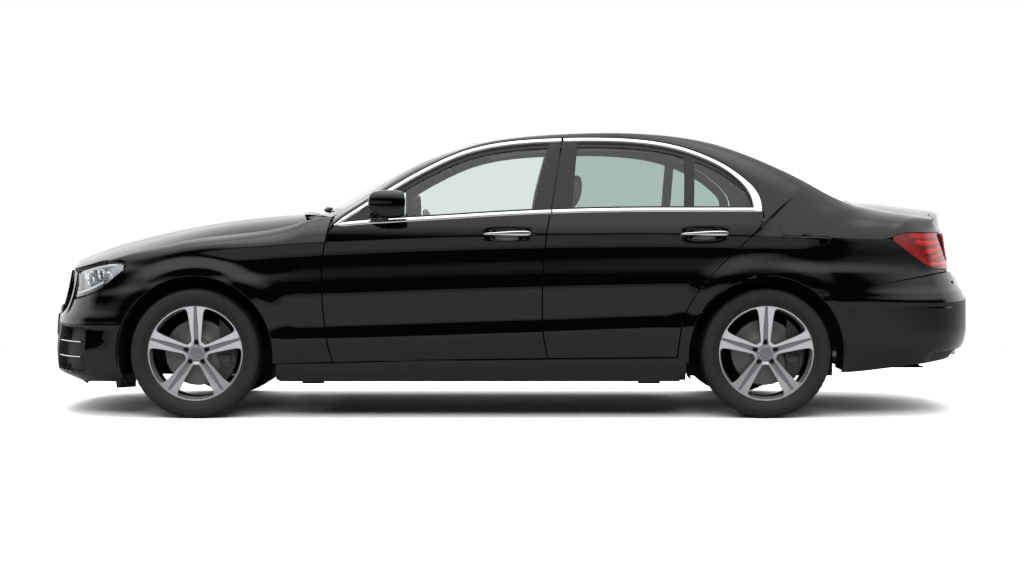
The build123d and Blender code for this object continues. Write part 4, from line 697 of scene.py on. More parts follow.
# ---------------------------------------------------------------- roof
roof_mid = line((0.225, 1.432), (0.10, 1.452), (-0.05, 1.477), (-0.25, 1.491), (-0.56, 1.498), (-0.80, 1.490),
                (-1.0, 1.464), (-1.145, 1.427))
v = np.linspace(-1, 1, 81)[None, :]
u = np.linspace(0, 1, 90)[:, None]
(mid_front, mid_rear), (side_front, side_rear) = (0.232, -1.145), (0.168, -1.078)
mid_x = mid_front + (mid_rear - mid_front) * u
side_x = side_front + (side_rear - side_front) * u
x = side_x + (mid_x - side_x) * (1 - v ** 2)
side_y = np.interp(-side_x, -fine[:, 0], fine[:, 1]) - 0.003
side_z = np.interp(-side_x, -fine[:, 0], fine[:, 2])
z = roof_mid(mid_x) + (side_z - roof_mid(mid_x)) * (0.78 * np.abs(v) ** 2.2 + 0.22 * np.abs(v) ** 6)
top = field(x, v * side_y, z, (0, 0, 1))
piece("roof_skin", walled(top, 0.016), paint, "body", ["roof"])

# ---------------------------------------------------------------- boot lid
lid_line = fair([(-1.845, 1.125), (-1.94, 1.120), (-2.07, 1.105), (-2.17, 1.092), (-2.25, 1.081),
                 (-2.306, 1.0725), (-2.330, 1.060), (-2.336, 1.040), (-2.340, 0.985), (-2.345, 0.94),
                 (-2.353, 0.885), (-2.361, 0.83), (-2.370, 0.775), (-2.386, 0.727)])
spine = spaced(lid_line, 110)
v = np.linspace(-1, 1, 101)[None, :]
back = ramp(-spine[:, 0], 2.0, 2.29)[:, None]
round_off = 0.065 + 0.045 * ramp(spine[:, 1:], 0.93, 1.03)
at_glass = 1 - ramp(-spine[:, :1], 1.85, 2.0)
x = spine[:, :1] + round_off * np.abs(v) ** 2.4 * back + 0.045 * (v ** 2) * at_glass
side_deck = np.interp(-x, -fine[:, 0], fine[:, 2])
z_drop = np.where(spine[:, 1:] > 1.045, spine[:, 1:] - side_deck, 0.018)
z = spine[:, 1:] - np.clip(z_drop, 0.0, 0.056) * np.abs(v) ** 2.4
plate_room = (bell(v, 0, 0.60) ** 0.25 * ramp(spine[:, 1:], 0.728, 0.748)
              * (1 - ramp(spine[:, 1:], 0.868, 0.885)))
x = x + 0.016 * plate_room
lid = field(x, v * LID_HALF, z, (-0.6, 0, 0.6))
piece("boot_lid_skin", walled(lid, 0.014), paint, "boot_lid", ["boot_lid"])

# ---------------------------------------------------------------- bumpers
def arch_end(axle, ahead, z):
    """Length along the plan line of a wheel arch's edge at height z, ahead of its axle (1) or behind (-1)."""
    return s_of(axle + ahead * np.sqrt(np.maximum(ARCH_R ** 2 - (z - HUB_Z) ** 2, 0.0)))


front_low = line((-0.1, 0.140), (0.45, 0.142), (0.60, 0.158), (0.75, 0.172), (0.95, 0.182), (1.4, 0.186))
S_GRILLE, S_CHEEK = float(s_of_y(0.474)), float(s_of_y(0.617))


def bumper_top(s):
    """Upper edge of the front bumper along the plan line: under the grille, up beside it, along the
    headlamp's lower edge, then down the joint with the wing."""
    x = x_of(s)
    under = 0.512 + 0.06 * ramp(s, S_GRILLE - 0.10, S_GRILLE - 0.004)
    joint = np.interp(x, [1.86, 1.882, 2.036, 2.04], [0.665, 0.672, 0.721, 0.723])
    lamp = lamp_low(x) - 0.004
    cheek = np.interp(s, [S_GRILLE, float(s_of_y(0.55)), S_CHEEK], [0.753, 0.750, 0.757])
    side = np.where(x > 2.038, np.minimum(lamp, 0.7215), joint) - GAP
    return np.where(s < S_GRILLE, under, np.where(s < S_CHEEK, cheek, side))


rows = np.linspace(0, 1, 76)[:, None]
S_JOINT = float(s_of(1.93))       # where the bumper's mesh gives way to the wheel arch
s_out = np.concatenate([np.linspace(0, S_GRILLE - 0.001, 84),
                        np.linspace(S_GRILLE + 0.001, S_CHEEK - 0.001, 46),
                        np.linspace(S_CHEEK + 0.001, S_JOINT, 96)])
z = front_low(s_out) + (bumper_top(s_out) - front_low(s_out)) * rows
s_grid = np.broadcast_to(s_out, z.shape).copy()
end = arch_end(FRONT_X, 1, z)
s_grid = np.where(s_grid > 1.0, 1.0 + (s_grid - 1.0) * (end - 1.0) / (S_JOINT - 1.0), s_grid)
points = flank(s_grid, z)
y_plan = np.interp(s_grid, plan_run, plan_points[:, 1])
centre_gap = ramp(-y_plan, -0.445, -0.430) * ramp(z, 0.225, 0.237) * (1 - ramp(z, 0.385, 0.397))
tilt = 0.32 * (z - 0.34)
side_gap = (ramp(y_plan, 0.528 + tilt, 0.540 + tilt) * ramp(z, 0.232, 0.244) * (1 - ramp(z, 0.452, 0.464))
            * (1 - ramp(s_grid, S_LAMP_MID + 0.235, S_LAMP_MID + 0.250)))
lip = bell(z, 0.478, 0.02) * 0.004 * ramp(s_grid, 0.3, 0.6)
points = points - out_of(s_grid) * (0.055 * centre_gap + 0.042 * side_gap - lip)[..., None]
dark = (np.maximum(centre_gap, side_gap)[:-1, :-1] > 0.35).astype(int)
tone_map = np.where((z[:-1, :-1] < 0.176) & (s_grid[:-1, :-1] < 1.6), 1, dark)
mask = turned(sheet_of(points, paint=tone_map), (1, 0.4, 0))
both = joined(mask, mirrored(mask), weld=2e-4)
piece("front_bumper_skin", walled(both, 0.010, 1), [paint, plastic], "body", ["front_bumper"])

rear_low = line((-2.5, 0.292), (-2.36, 0.286), (-2.1, 0.268), (-1.9, 0.252), (-1.68, 0.237), (-1.5, 0.233))
x_out = -np.linspace(1.60, 2.30, 90)
s_side = s_of(x_out)
s_all = np.concatenate([s_side, np.linspace(s_side[-1], S_END, 90)[1:]])
x_all = x_of(s_all)
behind_lid = ramp(s_all, float(s_of_y(0.574, tail=True)), float(s_of_y(0.566, tail=True)))
top_edge = quarter_low(x_all) + (np.minimum(quarter_low(x_all), 0.7235) - quarter_low(x_all)) * behind_lid - GAP
z = rear_low(x_all) + (top_edge - rear_low(x_all)) * np.linspace(0, 1, 80)[:, None]
s_grid = np.broadcast_to(s_all, z.shape).copy()
begin = arch_end(REAR_X, -1, z)
fixed = s_side[60]
s_grid = np.where(s_grid < fixed, begin + (s_grid - s_side[0]) * (fixed - begin) / (fixed - s_side[0]), s_grid)
points = flank(s_grid, z)
lower = ramp(s_grid, s_side[70], s_side[88]) * ramp(-z, -0.345, -0.330)
ledge = bell(z, 0.602, 0.03) * 0.003
points = points - out_of(s_grid) * (0.016 * lower - ledge)[..., None]
shade = ((lower > 0.4)[:-1, :-1]).astype(int)
mask = turned(sheet_of(points, paint=shade), (-1, 0.4, 0))
both = joined(mask, mirrored(mask), weld=2e-4)
piece("rear_bumper_skin", walled(both, 0.010, 1), [paint, plastic], "body", ["rear_bumper"])

# ---------------------------------------------------------------- side windows
def on_house(x, z, lift=0.0):
    """Point of the surface that the side windows share, raised by lift along its normal."""
    x, z, lift = np.broadcast_arrays(np.asarray(x, float), z, lift)
    slope = (house_y(z + 0.002) - house_y(z - 0.002)) / 0.004
    normal = unit(np.stack([0 * x, 1 + 0 * x, -slope], -1))
    return np.stack([x, house_y(z), z], -1) + normal * lift[..., None]


def capped(points):
    """Grid that is closed round u, with both end rows drawn to their middles."""
    ends = [np.broadcast_to(points[k].mean(0), points[k].shape)[None] for k in (0, -1)]
    return joined(sheet_of(np.concatenate([ends[0], points, ends[1]]), wrap_u=True))


def strip(path, section, width=1.0, place=on_house):
    """Closed bar along a path in the side view: its section's corners are (share of the width inwards,
    metres inwards, metres outwards from the surface)."""
    path = np.asarray(path, float)
    way = unit(np.gradient(path, axis=0))
    inward = np.stack([-way[:, 1], way[:, 0]], 1)
    part = np.asarray(section, float)
    run = part[None, :, 0] * np.reshape(width, (-1, 1)) + part[None, :, 1]
    at = path[:, None] + inward[:, None] * run[..., None]
    return capped(place(at[..., 0], at[..., 1], part[None, :, 2] + 0 * run))


def crown(low, high, count=9):
    """Section of a strip: rounded face that stands from low to high, with a flat back."""
    t = np.linspace(0, 1, count)
    face = low + (high - low) * (1 - np.abs(2 * t - 1) ** 3.5)
    return np.concatenate([np.stack([t, 0 * t, face], 1), [(1, 0, low - 0.004), (0, 0, low - 0.004)]])


def either_ray(tree, one, other):
    """1 for a ray of one of two kinds, 0 for any other."""
    ray = add_node(tree, "ShaderNodeLightPath")
    return add_node(tree, "ShaderNodeMath", {0: ray.outputs[one], 1: ray.outputs[other]},
                    operation="MAXIMUM").outputs[0]


def see_through(name, code, passed, ior):
    """Clear sheet: code tints what is seen through it, passed is the colour of the light that it lets by."""
    made, tree, shader = material(name, Base_Color=tone(code), Roughness=0.0, IOR=ior, Transmission_Weight=1.0)
    through = add_node(tree, "ShaderNodeBsdfTransparent", {"Color": tone(passed)})
    mix = add_node(tree, "ShaderNodeMixShader", {0: either_ray(tree, "Is Shadow Ray", "Is Diffuse Ray"),
                                                 1: shader.outputs[0], 2: through.outputs[0]})
    tree.links.new(mix.outputs[0], tree.nodes["Material Output"].inputs["Surface"])
    return made


# Safety glass, clear with a green cast, darker in the rear doors; soft light passes straight through it.
light_glass = see_through("green_tint_glass", "#EDF3F1", "#EDF3F1", GLASS_IOR)
dark_glass = see_through("privacy_tint_glass", "#CBD9D4", "#CBD9D4", GLASS_IOR)

# Outline of the doors' bright trim, from the windscreen's foot to the rear door's corner: share along it.
trim_points = spaced(frame_line, 1040)
trim_split = int(np.argmin(np.hypot(trim_points[:, 0] + 0.272, trim_points[:, 1] - 1.446)))
trim_width = line((0.93, 0.004), (0.895, 0.012), (0.85, 0.021), (-0.9, 0.021), (-1.06, 0.0215), (-1.15, 0.025),
                  (-1.22, 0.031), (-1.26, 0.037), (-1.285, 0.041), (-1.30, 0.043))
chrome_section = crown(0.0005, 0.0042)
sill_width = line((0.95, 0.004), (0.90, 0.010), (0.85, 0.0205), (-1.4, 0.0205))
for place, span in (("front", slice(6, trim_split, 4)), ("rear", slice(trim_split + 3, 1040, 4))):
    path = trim_points[span]
    x0, x1 = (0.901, -0.2105) if place == "front" else (-0.2175, -1.288)
    run = np.linspace(x0, x1, 90)
    sill_path = np.stack([run, belt(run) + 0.010], 1)
    wide = trim_width(path[:, 0])
    on = f"{place}_door_{{}}"
    bars = joined(strip(path, chrome_section, wide), strip(sill_path, crown(0.0005, 0.0038), sill_width(run)))
    pair(f"{place}_window_trim_{{}}", bars, bright, on, sharp=50)
    frame_bar = strip(path, [(0, 0.001, -0.003), (0, 0.048, -0.004), (0, 0.048, -0.026), (0, 0.001, -0.026)])
    pair(f"{place}_window_frame_{{}}", frame_bar, gloss, on)
    rubber = joined(
        strip(path, [(1, -0.001, -0.002), (1, 0.004, 0.0012), (1, 0.011, -0.001), (1, 0.012, -0.008),
                     (1, -0.001, -0.008)], wide),
        strip(sill_path, [(0, -0.009, -0.002), (0, -0.006, 0.0012), (0, 0.001, 0.0012), (0, 0.001, -0.008),
                          (0, -0.009, -0.008)]))
    pair(f"{place}_window_seal_{{}}", rubber, seal, on)

# Panes: ruled from the sill to the trim's inner edge.
way = unit(np.gradient(trim_points, axis=0))
trim_inset = trim_width(trim_points[:, 0]) + 0.004
inner_trim = trim_points + np.stack([-way[:, 1], way[:, 0]], 1) * trim_inset[:, None]


def pane(front, rear, cols=60, rows=14, lift=-0.009, thick=0.004):
    """Closed curved pane between two x(z) edges, from the sill up to the trim."""
    order = np.argsort(inner_trim[:, 0])
    rim_x, rim_z = inner_trim[order, 0], inner_trim[order, 1]
    u = np.linspace(0, 1, cols)
    v = np.linspace(0, 1, rows)[:, None]
    x = np.broadcast_to(front(1.08) + (rear(1.08) - front(1.08)) * u, (rows, cols)).copy()
    for _ in range(10):
        top = np.maximum(np.interp(x, rim_x, rim_z), belt(x) + 0.006)
        z = belt(x) - 0.006 + (top - belt(x) + 0.006) * v
        x = front(z) + (rear(z) - front(z)) * u
    shape = turned(sheet_of(on_house(x, z, lift)), (0, 1, 0))
    return walled(shape, thick)


pillar_front = line((1.02, -0.120), (1.08, -0.1256), (1.44, -0.2085))
pillar_rear = line((1.02, -0.3135), (1.08, -0.319), (1.44, -0.353))
post_front = line((1.02, -0.897), (1.08, -0.900), (1.45, -0.918))
post_rear = line((1.02, -0.938), (1.08, -0.941), (1.45, -0.959))
steady = lambda value: (lambda z: value + 0.0 * np.asarray(z, float))
front_pane = pane(steady(0.868), lambda z: pillar_front(z) - 0.01)
rear_panes = joined(pane(lambda z: pillar_rear(z) + 0.01, lambda z: post_front(z) - 0.012),
                    pane(lambda z: post_rear(z) + 0.012, steady(-1.252), 40))
pair("front_door_pane_{}", front_pane, light_glass, "front_door_{}", ["front_door_glass_{}"])
pair("rear_door_pane_{}", rear_panes, dark_glass, "rear_door_{}", ["rear_door_glass_{}"])


def upright_bar(front, rear, low, high, lift, thick=0.016, cols=10, rows=30):
    """Closed slab over the window surface, between two x(z) edges and two heights, with rounded rims."""
    u = np.linspace(0, 1, cols)
    v = np.linspace(0, 1, rows)[:, None]
    x = front(high) + (rear(high) - front(high)) * u + 0 * v
    for _ in range(8):
        top = np.minimum(high, np.interp(-x, -trim_points[:, 0], trim_points[:, 1]) - 0.012)
        z = low(x) + (top - low(x)) * v
        x = front(z) + (rear(z) - front(z)) * u
    round_off = -0.0016 * (1 - (1 - np.abs(2 * u - 1) ** 6)) + 0 * v
    return walled(turned(sheet_of(on_house(x, z, lift + round_off)), (0, 1, 0)), thick)


over_belt = lambda x: belt(x) + 0.004


split_b = line((0.958, -0.189), (1.08, -0.2135), (1.45, -0.2745))
for place, front, rear in (("front", pillar_front, lambda z: split_b(z) + GAP),
                           ("rear", lambda z: split_b(z) - GAP, pillar_rear)):
    pair(f"{place}_pillar_trim_{{}}", upright_bar(front, rear, over_belt, WINDOW_TOP, 0.0005), gloss,
         f"{place}_door_{{}}")
post = [upright_bar(post_front, post_rear, over_belt, WINDOW_TOP, -0.002, 0.020)]
post += [upright_bar(lambda z: edge(z) + ahead, lambda z: edge(z) - behind, over_belt, WINDOW_TOP,
                     -0.001, 0.012, 5)
         for edge, ahead, behind in ((post_front, 0.006, 0.002), (post_rear, 0.002, 0.006))]
pair("quarter_window_post_{}", joined(*post), gloss, "rear_door_{}")

# ---------------------------------------------------------------- door fittings
sail = upright_bar(steady(0.876), steady(0.702), over_belt, WINDOW_TOP, 0.0006, 0.012, 12, 12)
pair("mirror_sail_{}", sail, gloss, "front_door_{}")


def swell(centre, half, power, squash=lambda p: p, cols=64, rows=40):
    """Closed rounded body: x, y, z = half * sign(c)|c|^power of a sphere's coordinates c, then squash."""
    lat = np.linspace(-np.pi / 2, np.pi / 2, rows)[:, None]
    lon = circle(cols)[None, :]
    flat = np.stack([np.cos(lon) + 0 * lat, np.sin(lon) + 0 * lat, 1 + 0 * lat + 0 * lon], -1)
    ring = np.abs(np.cos(lat)) ** power[1]
    p = np.sign(flat) * np.abs(flat) ** power[0]
    p[..., :2] *= ring[..., None]
    p[..., 2] = np.sign(np.sin(lat)) * np.abs(np.sin(lat)) ** power[1] + 0 * lon
    p = squash(p)
    return joined(sheet_of(p * np.array(half) + np.array(centre), wrap_u=True))


def mirror_form(p):
    """Mirror housing from the rounded box: pointed lower front edge, flat back, drooping outer end."""
    x, y, z = p[..., 0], p[..., 1], p[..., 2]
    x = np.where(x > 0, x * (1 - 0.34 * ramp(-z, 0.1, 1.0)), np.maximum(x, -0.86))
    z = z * (1 - 0.10 * ramp(y, -0.2, 1.0)) + 0.05 * x * (1 - np.abs(z))
    seam = 1 - 0.030 * bell(z, 0.12, 0.05) * (x > -0.8)
    return np.stack([x * seam, y * seam, z], -1)


housing = swell((0.620, 0.982, 1.100), (0.102, 0.050, 0.073), (0.62, 0.62), mirror_form, 72, 60)
p, f, s = housing
housing = p, f, (p[f].mean(1)[:, 2] < 1.108).astype(int)
pair("mirror_housing_{}", housing, [paint, gloss], "front_door_{}", ["door_mirror_{}"])

# Silvered glass of the mirrors and of nothing else: a near-perfect mirror with a faint blue.
silver = mottled("silvered_glass", "#C9D2D8", "#D2DADF", 0.02, 0.000002, Metallic=1.0, Roughness=0.02)
u = circle(48)[None, :]
v = np.linspace(0, 1, 10)[:, None]
glass_y = 0.982 + 0.043 * v * np.sign(np.cos(u)) * np.abs(np.cos(u)) ** 0.62
glass_z = 1.098 + 0.062 * v * np.sign(np.sin(u)) * np.abs(np.sin(u)) ** 0.62
disc = joined(field(0.5312 - 0.0012 * (1 - v * v), glass_y, glass_z, (-1, 0, 0), wrap_u=True))
pair("mirror_glass_{}", walled(disc, 0.004), silver, "front_door_{}")


def hose(path, half_a, half_b, count=60, ring=20, twist=(0, 0, 1), power=1.0):
    """Closed bar along points in space with an elliptical section (half widths may vary along it)."""
    line_at = spaced(fair(path), count) if len(path) > 2 else np.linspace(path[0], path[1], count)
    way = unit(np.gradient(line_at, axis=0))
    side = unit(np.cross(way, np.array(twist, float)))
    up = np.cross(side, way)
    turn = circle(ring)
    c, n = squared(turn, power)
    t = np.linspace(0, 1, count)
    a = half_a(t) if callable(half_a) else np.full(count, half_a)
    b = half_b(t) if callable(half_b) else np.full(count, half_b)
    return capped(line_at[:, None] + side[:, None] * (a[:, None] * c)[..., None]
                  + up[:, None] * (b[:, None] * n)[..., None])


stalk = hose([(0.690, 0.872, 1.030), (0.672, 0.905, 1.034), (0.650, 0.945, 1.046)], 0.050, 0.012, 24, 28)
pair("mirror_stalk_{}", stalk, gloss, "front_door_{}")

# Chrome plate on the handles: mirror bright, slightly warm against the aluminium trim.
chrome = mottled("chrome_plate", "#D4D5D7", "#E2E3E4", 0.01, 0.000004, Metallic=1.0, Roughness=0.07)
for place, (hx, hz) in zip(("front", "rear"), handle_spots):
    bar = hose([(hx + 0.122, 0.921, hz - 0.001), (hx + 0.108, 0.9285, hz), (hx + 0.05, 0.9335, hz + 0.002),
                (hx - 0.03, 0.9345, hz + 0.003), (hx - 0.10, 0.930, hz + 0.003),
                (hx - 0.119, 0.925, hz + 0.003)],
               lambda t: 0.0062 * (1 - 0.6 * np.abs(2 * t - 1) ** 12),
               lambda t: (0.0055 + 0.0075 * ramp(t, 0.0, 0.8)) * (1 - 0.55 * np.abs(2 * t - 1) ** 14),
               70, 28, power=0.7)
    feet = [hose([(hx + d, 0.898, hz + 0.001), (hx + d, 0.932, hz + 0.002)], 0.010, 0.0065, 8, 20, power=0.7)
            for d in (0.100, -0.104)]
    pair(f"{place}_handle_{{}}", joined(bar, *feet), chrome, f"{place}_door_{{}}",
         [f"{place}_door_handle_{{}}"])
lock = swell((-0.124, 0.922, 0.951), (0.008, 0.009, 0.0125), (0.7, 0.7), cols=24, rows=16)
pair("lock_cover_{}", lock, paint, "front_door_{}")

# ---------------------------------------------------------------- screens
for name, side_path, mid_path, band_low, band_high in (
        ("windscreen", screen_side,
         [(1.044, 0, 1.052), (0.872, 0, 1.156), (0.693, 0, 1.252), (0.455, 0, 1.360),
          (0.232, 0, 1.4315)], 0.09, 0.05),
        ("rear_screen", [(-1.790, 0.672, 1.098), (-1.700, 0.703, 1.131), (-1.560, 0.705, 1.204),
                         (-1.390, 0.690, 1.290), (-1.220, 0.666, 1.363), (-1.075, 0.643, 1.414)],
         [(-1.840, 0, 1.104), (-1.665, 0, 1.198), (-1.483, 0, 1.292), (-1.310, 0, 1.370), (-1.150, 0, 1.424)],
         0.06, 0.05)):
    rows = np.concatenate([np.linspace(0, band_low, 5), np.linspace(band_low, 1 - band_high, 36)[1:-1],
                           np.linspace(1 - band_high, 1, 4)])
    share = np.linspace(0, 1, 400)
    side = np.stack([np.interp(rows, share, spaced(fair(side_path), 400)[:, k]) for k in range(3)], 1)
    mid = np.stack([np.interp(rows, share, spaced(fair(mid_path), 400)[:, k]) for k in range(3)], 1)
    v = np.concatenate([np.linspace(-1, -0.94, 4), np.linspace(-0.94, 0.94, 61)[1:-1], np.linspace(0.94, 1, 4)])
    bow = (1 - v ** 2)[None, :, None]
    points = side[:, None] + (mid - side)[:, None] * bow
    points[..., 1] = side[:, None, 1] * v[None, :] * 0.9955
    middle = (np.abs(v[:-1] + v[1:]) < 1.88)[None, :] & ((rows[:-1] + rows[1:] > 2 * band_low)
                                                         & (rows[:-1] + rows[1:] < 2 - 2 * band_high))[:, None]
    shape = turned(sheet_of(points, paint=np.where(middle, 0, 1)), (0, 0, 1))
    piece(f"{name}_pane", walled(shape, 0.005), [light_glass, gloss], "body", [name])

cowl = hose([(0.955, -0.70, 1.018), (1.030, -0.35, 1.030), (1.052, 0.0, 1.033), (1.030, 0.35, 1.030),
             (0.955, 0.70, 1.018)],
            0.055, 0.006, 60, 20)
piece("cowl_grille", cowl, plastic)


def on_screen(y, up, lift=0.008):
    """Point on the foot of the windscreen at y, up metres behind its lower edge, lifted off the glass."""
    share = (y / 0.775) ** 2
    return 1.044 - 0.119 * share - up, y, 1.052 - 0.017 * share + 0.605 * up + lift


wipers = []
for base in (-0.55, 0.12):
    arm = hose([on_screen(base, 0.028, 0.004), on_screen(base + 0.18, 0.030), on_screen(base + 0.38, 0.034)],
               0.007, 0.005, 30, 10)
    blade = hose([on_screen(base + 0.02, 0.036), on_screen(base + 0.22, 0.040), on_screen(base + 0.42, 0.044)],
                 0.004, 0.007, 40, 10)
    wipers += [arm, blade]
piece("wipers", joined(*wipers), plastic)


# ---------------------------------------------------------------- front lamps and grille
def flank_patch(s_from, s_to, low, high, cols, rows, inset=0.0):
    """Patch of the side between two lengths along the plan line and two heights z(x), set in by inset."""
    s = np.linspace(s_from, s_to, cols)[None, :]
    v = np.linspace(0, 1, rows)[:, None]
    x = x_of(s)
    z = low(x) + (high(x) - low(x)) * v
    return flank(s, z) - out_of(s) * (inset + 0 * z)[..., None]


# Hard-coated polycarbonate of the headlamps' covers: water clear.
clear = see_through("clear_polycarbonate", "#F4F6F7", "#F0F2F3", LENS_IOR)
# Vacuum-metallised reflector plastic: silver, soft edged.
reflector = mottled("metallised_reflector", "#9FA1A4", "#C6C8CB", 0.003, 0.00004, Metallic=1.0, Roughness=0.22)
# Frosted white light guide.
guide = mottled("frosted_acrylic", "#DCDDDD", "#F2F2F1", 0.004, 0.00005, Roughness=0.35, IOR=1.49,
                Coat_Weight=0.5)

S_TIP, S_LAMP_END = float(s_of(2.012)), float(s_of_y(0.620))
lamp_in_low = lambda x: lamp_low(x) + 0.004
lamp_in_high = lambda x: np.maximum(lamp_top(x) - 0.004, lamp_low(x) + 0.006)
cover = turned(sheet_of(flank_patch(S_LAMP_END, S_TIP, lamp_in_low, lamp_in_high, 80, 30, 0.004)), (1, 1, 0))
pair("headlamp_cover_{}", walled(cover, 0.003), clear, replaces=["headlamps"])
u = np.linspace(0, 1, 80)[None, :]
v = np.linspace(0, 1, 30)[:, None]
deep = 0.010 + 0.060 * bell(u, 0.40, 0.62) * bell(v, 0.5, 0.56) ** 0.5
bowl = turned(sheet_of(flank_patch(S_LAMP_END, S_TIP, lamp_in_low, lamp_in_high, 80, 30, deep)), (1, 1, 0))
pair("headlamp_reflector_{}", walled(bowl, 0.003), reflector)


def spun(profile, place, way, ring=48):
    """Surface turned about a line through place along way; profile is (radius, distance along it)."""
    way = unit(np.array(way, float))
    side = unit(np.cross(way, (0, 0, 1.0)))
    up = np.cross(side, way)
    prof = np.array(profile, float)
    t = circle(ring)
    rim = side[None] * np.cos(t)[:, None] + up[None] * np.sin(t)[:, None]
    return joined(sheet_of(np.array(place) + prof[:, 1, None, None] * way + prof[:, 0, None, None] * rim[None],
                           wrap_u=True), weld=1e-7)


pods, lenses = [], []
for s_at, z_at, size in ((0.36, 0.703, 0.036), (0.62, 0.738, 0.030)):
    s_pod = S_LAMP_END + (S_TIP - S_LAMP_END) * s_at
    at = flank(s_pod, z_at) - out_of(s_pod) * 0.034
    face = np.array([0.80, 0.60, -0.03])
    pods.append(spun([(0.0, -0.03), (size, -0.03), (size + 0.004, 0.006), (size + 0.002, 0.010),
                      (size - 0.004, 0.006), (size - 0.008, -0.004), (0.0, -0.006)], at, face))
    dome = np.linspace(0, 0.5 * np.pi, 12)
    lenses.append(spun([((size - 0.008) * np.sin(a), -0.006 + 0.016 * np.cos(a)) for a in dome]
                       + [(0.0, -0.0065)], at, face))
pair("projector_pods_{}", joined(*pods), reflector)
pair("projector_lenses_{}", joined(*lenses), gloss)
brow = []
for low_share, ends, size in ((0.90, (0.10, 0.90), 0.0055), (0.16, (0.05, 0.70), 0.0050)):
    share = np.linspace(*ends, 24)
    s_path = S_LAMP_END + (S_TIP - S_LAMP_END) * share
    x_path = x_of(s_path)
    z_path = lamp_in_low(x_path) + (lamp_in_high(x_path) - lamp_in_low(x_path)) * low_share
    at = flank(s_path, z_path) - out_of(s_path) * 0.014
    brow.append(hose(at, size, size * 1.2, 60, 12))
pair("light_guides_{}", joined(*brow), guide)


def nose_x_at(y, z):
    """Distance ahead of the front face at y and z, left or right of the middle."""
    return flank(s_of_y(np.abs(y)), z)[..., 0]


# Grille: a bright frame, three wing-shaped bars and a dark honeycomb behind them.
u = circle(200)
cu, su = squared(u, 0.42)
loop = np.stack([(0.452 - 0.014 * su) * cu, 0.640 + 0.097 * su + 0.004 * cu ** 2 * (su < 0)], 1)
face_x = lambda y, z: 2.452 - 0.50 * y ** 2 - 0.10 * (z - 0.55)
turn = circle(14)
out_way = unit(np.stack([np.gradient(loop[:, 1]), -np.gradient(loop[:, 0])], 1))
tube = np.stack([(face_x(loop[:, 0], loop[:, 1]) - 0.020)[:, None] + 0.012 * np.cos(turn),
                 loop[:, 0][:, None] + out_way[:, 0][:, None] * 0.010 * np.sin(turn),
                 loop[:, 1][:, None] + out_way[:, 1][:, None] * 0.010 * np.sin(turn)], -1)
tube = turned(sheet_of(tube, wrap_u=True, wrap_v=True), lambda c: c - np.array([2.35, 0.0, 0.64]))
piece("grille_frame", tube, bright, "body", ["grille"])
bars = []
for z_at, half in ((0.590, 0.440), (0.640, 0.455), (0.690, 0.440)):
    y = np.linspace(-half, half, 15)
    bars.append(hose([(float(face_x(a, z_at)) - 0.028, a, z_at) for a in y], 0.012,
                     lambda t: 0.0075 * (1 - 0.4 * np.abs(2 * t - 1) ** 4), 80, 14))
piece("grille_bars", joined(*bars), bright)
u = np.linspace(-1, 1, 121)[None, :]
v = np.linspace(0, 1, 40)[:, None]
wide = np.interp(v, [0, 0.5, 1], [0.41, 0.462, 0.41])
y, z = u * wide, 0.550 + 0.190 * v + 0 * u
cell = np.sin(y * 2 * np.pi / 0.022) * np.sin(z * 2 * np.pi / 0.022)
mesh_back = sheet_of(np.stack([face_x(y, z) - 0.055 + 0.004 * cell, y, z], -1))
piece("grille_mesh", walled(turned(mesh_back, (1, 0, 0)), 0.006), plastic)

# Lower intakes: slats across the middle one, two bright blades in each side one.
slats = []
for z_at in (0.268, 0.305, 0.342, 0.375):
    y = np.linspace(-0.415, 0.415, 13)
    slats.append(hose([(float(nose_x_at(a, z_at)) - 0.030, a, z_at) for a in y], 0.016, 0.005, 60, 12))
piece("intake_slats", joined(*slats), gloss)
blades = []
for z_at in (0.310, 0.388):
    s_path = np.linspace(float(s_of_y(0.575)), S_LAMP_MID + 0.215, 16)
    at = flank(s_path, z_at) - out_of(s_path) * 0.012
    blades.append(hose(at, 0.013, 0.0045, 50, 14))
pair("intake_blades_{}", joined(*blades), bright)

# Number plates, blank.
plate_white = mottled("blank_number_plate", "#E4E4E2", "#F0F0EE", 0.0012, 0.00002, "cells", Roughness=0.32,
                      IOR=1.49)


def plate(x_at, z_at, lean, outward):
    """Blank plate 520 by 112 mm with rounded corners and a raised rim, on its dark holder."""
    u = circle(96)[None, :]
    cu, su = squared(u, 0.16)
    made = []
    for grow, stand in ((0.0, 0.005), (0.008, 0.001)):
        v = np.array([0.0, 0.4, 0.8, 0.965, 0.972, 0.99, 1.0])[:, None]
        lift = np.interp(v, [0, 0.965, 0.972, 0.99, 1.0], [0, 0, 0.0012, 0.0012, 0.0]) + 0 * u
        y, z = (0.260 + grow) * v * cu, (0.056 + grow) * v * su
        x = x_at + outward * (stand + lift) - lean * z
        made.append(walled(turned(joined(sheet_of(np.stack([x, y, z_at + z], -1), wrap_u=True), weld=1e-7),
                                  (outward, 0, 0)), 0.003 + grow))
    return made


front_plate, front_holder = plate(2.4515, 0.452, 0.06, 1)
piece("front_plate", front_plate, plate_white)
piece("front_plate_holder", front_holder, plastic)

# ---------------------------------------------------------------- wheels
def on_axle(place_x, a, w, b):
    """Point of a left wheel: a ahead of its axle, w out from its middle plane, b above the axle."""
    return np.stack(np.broadcast_arrays(place_x + a, WHEEL_Y + w, HUB_Z + b), -1)


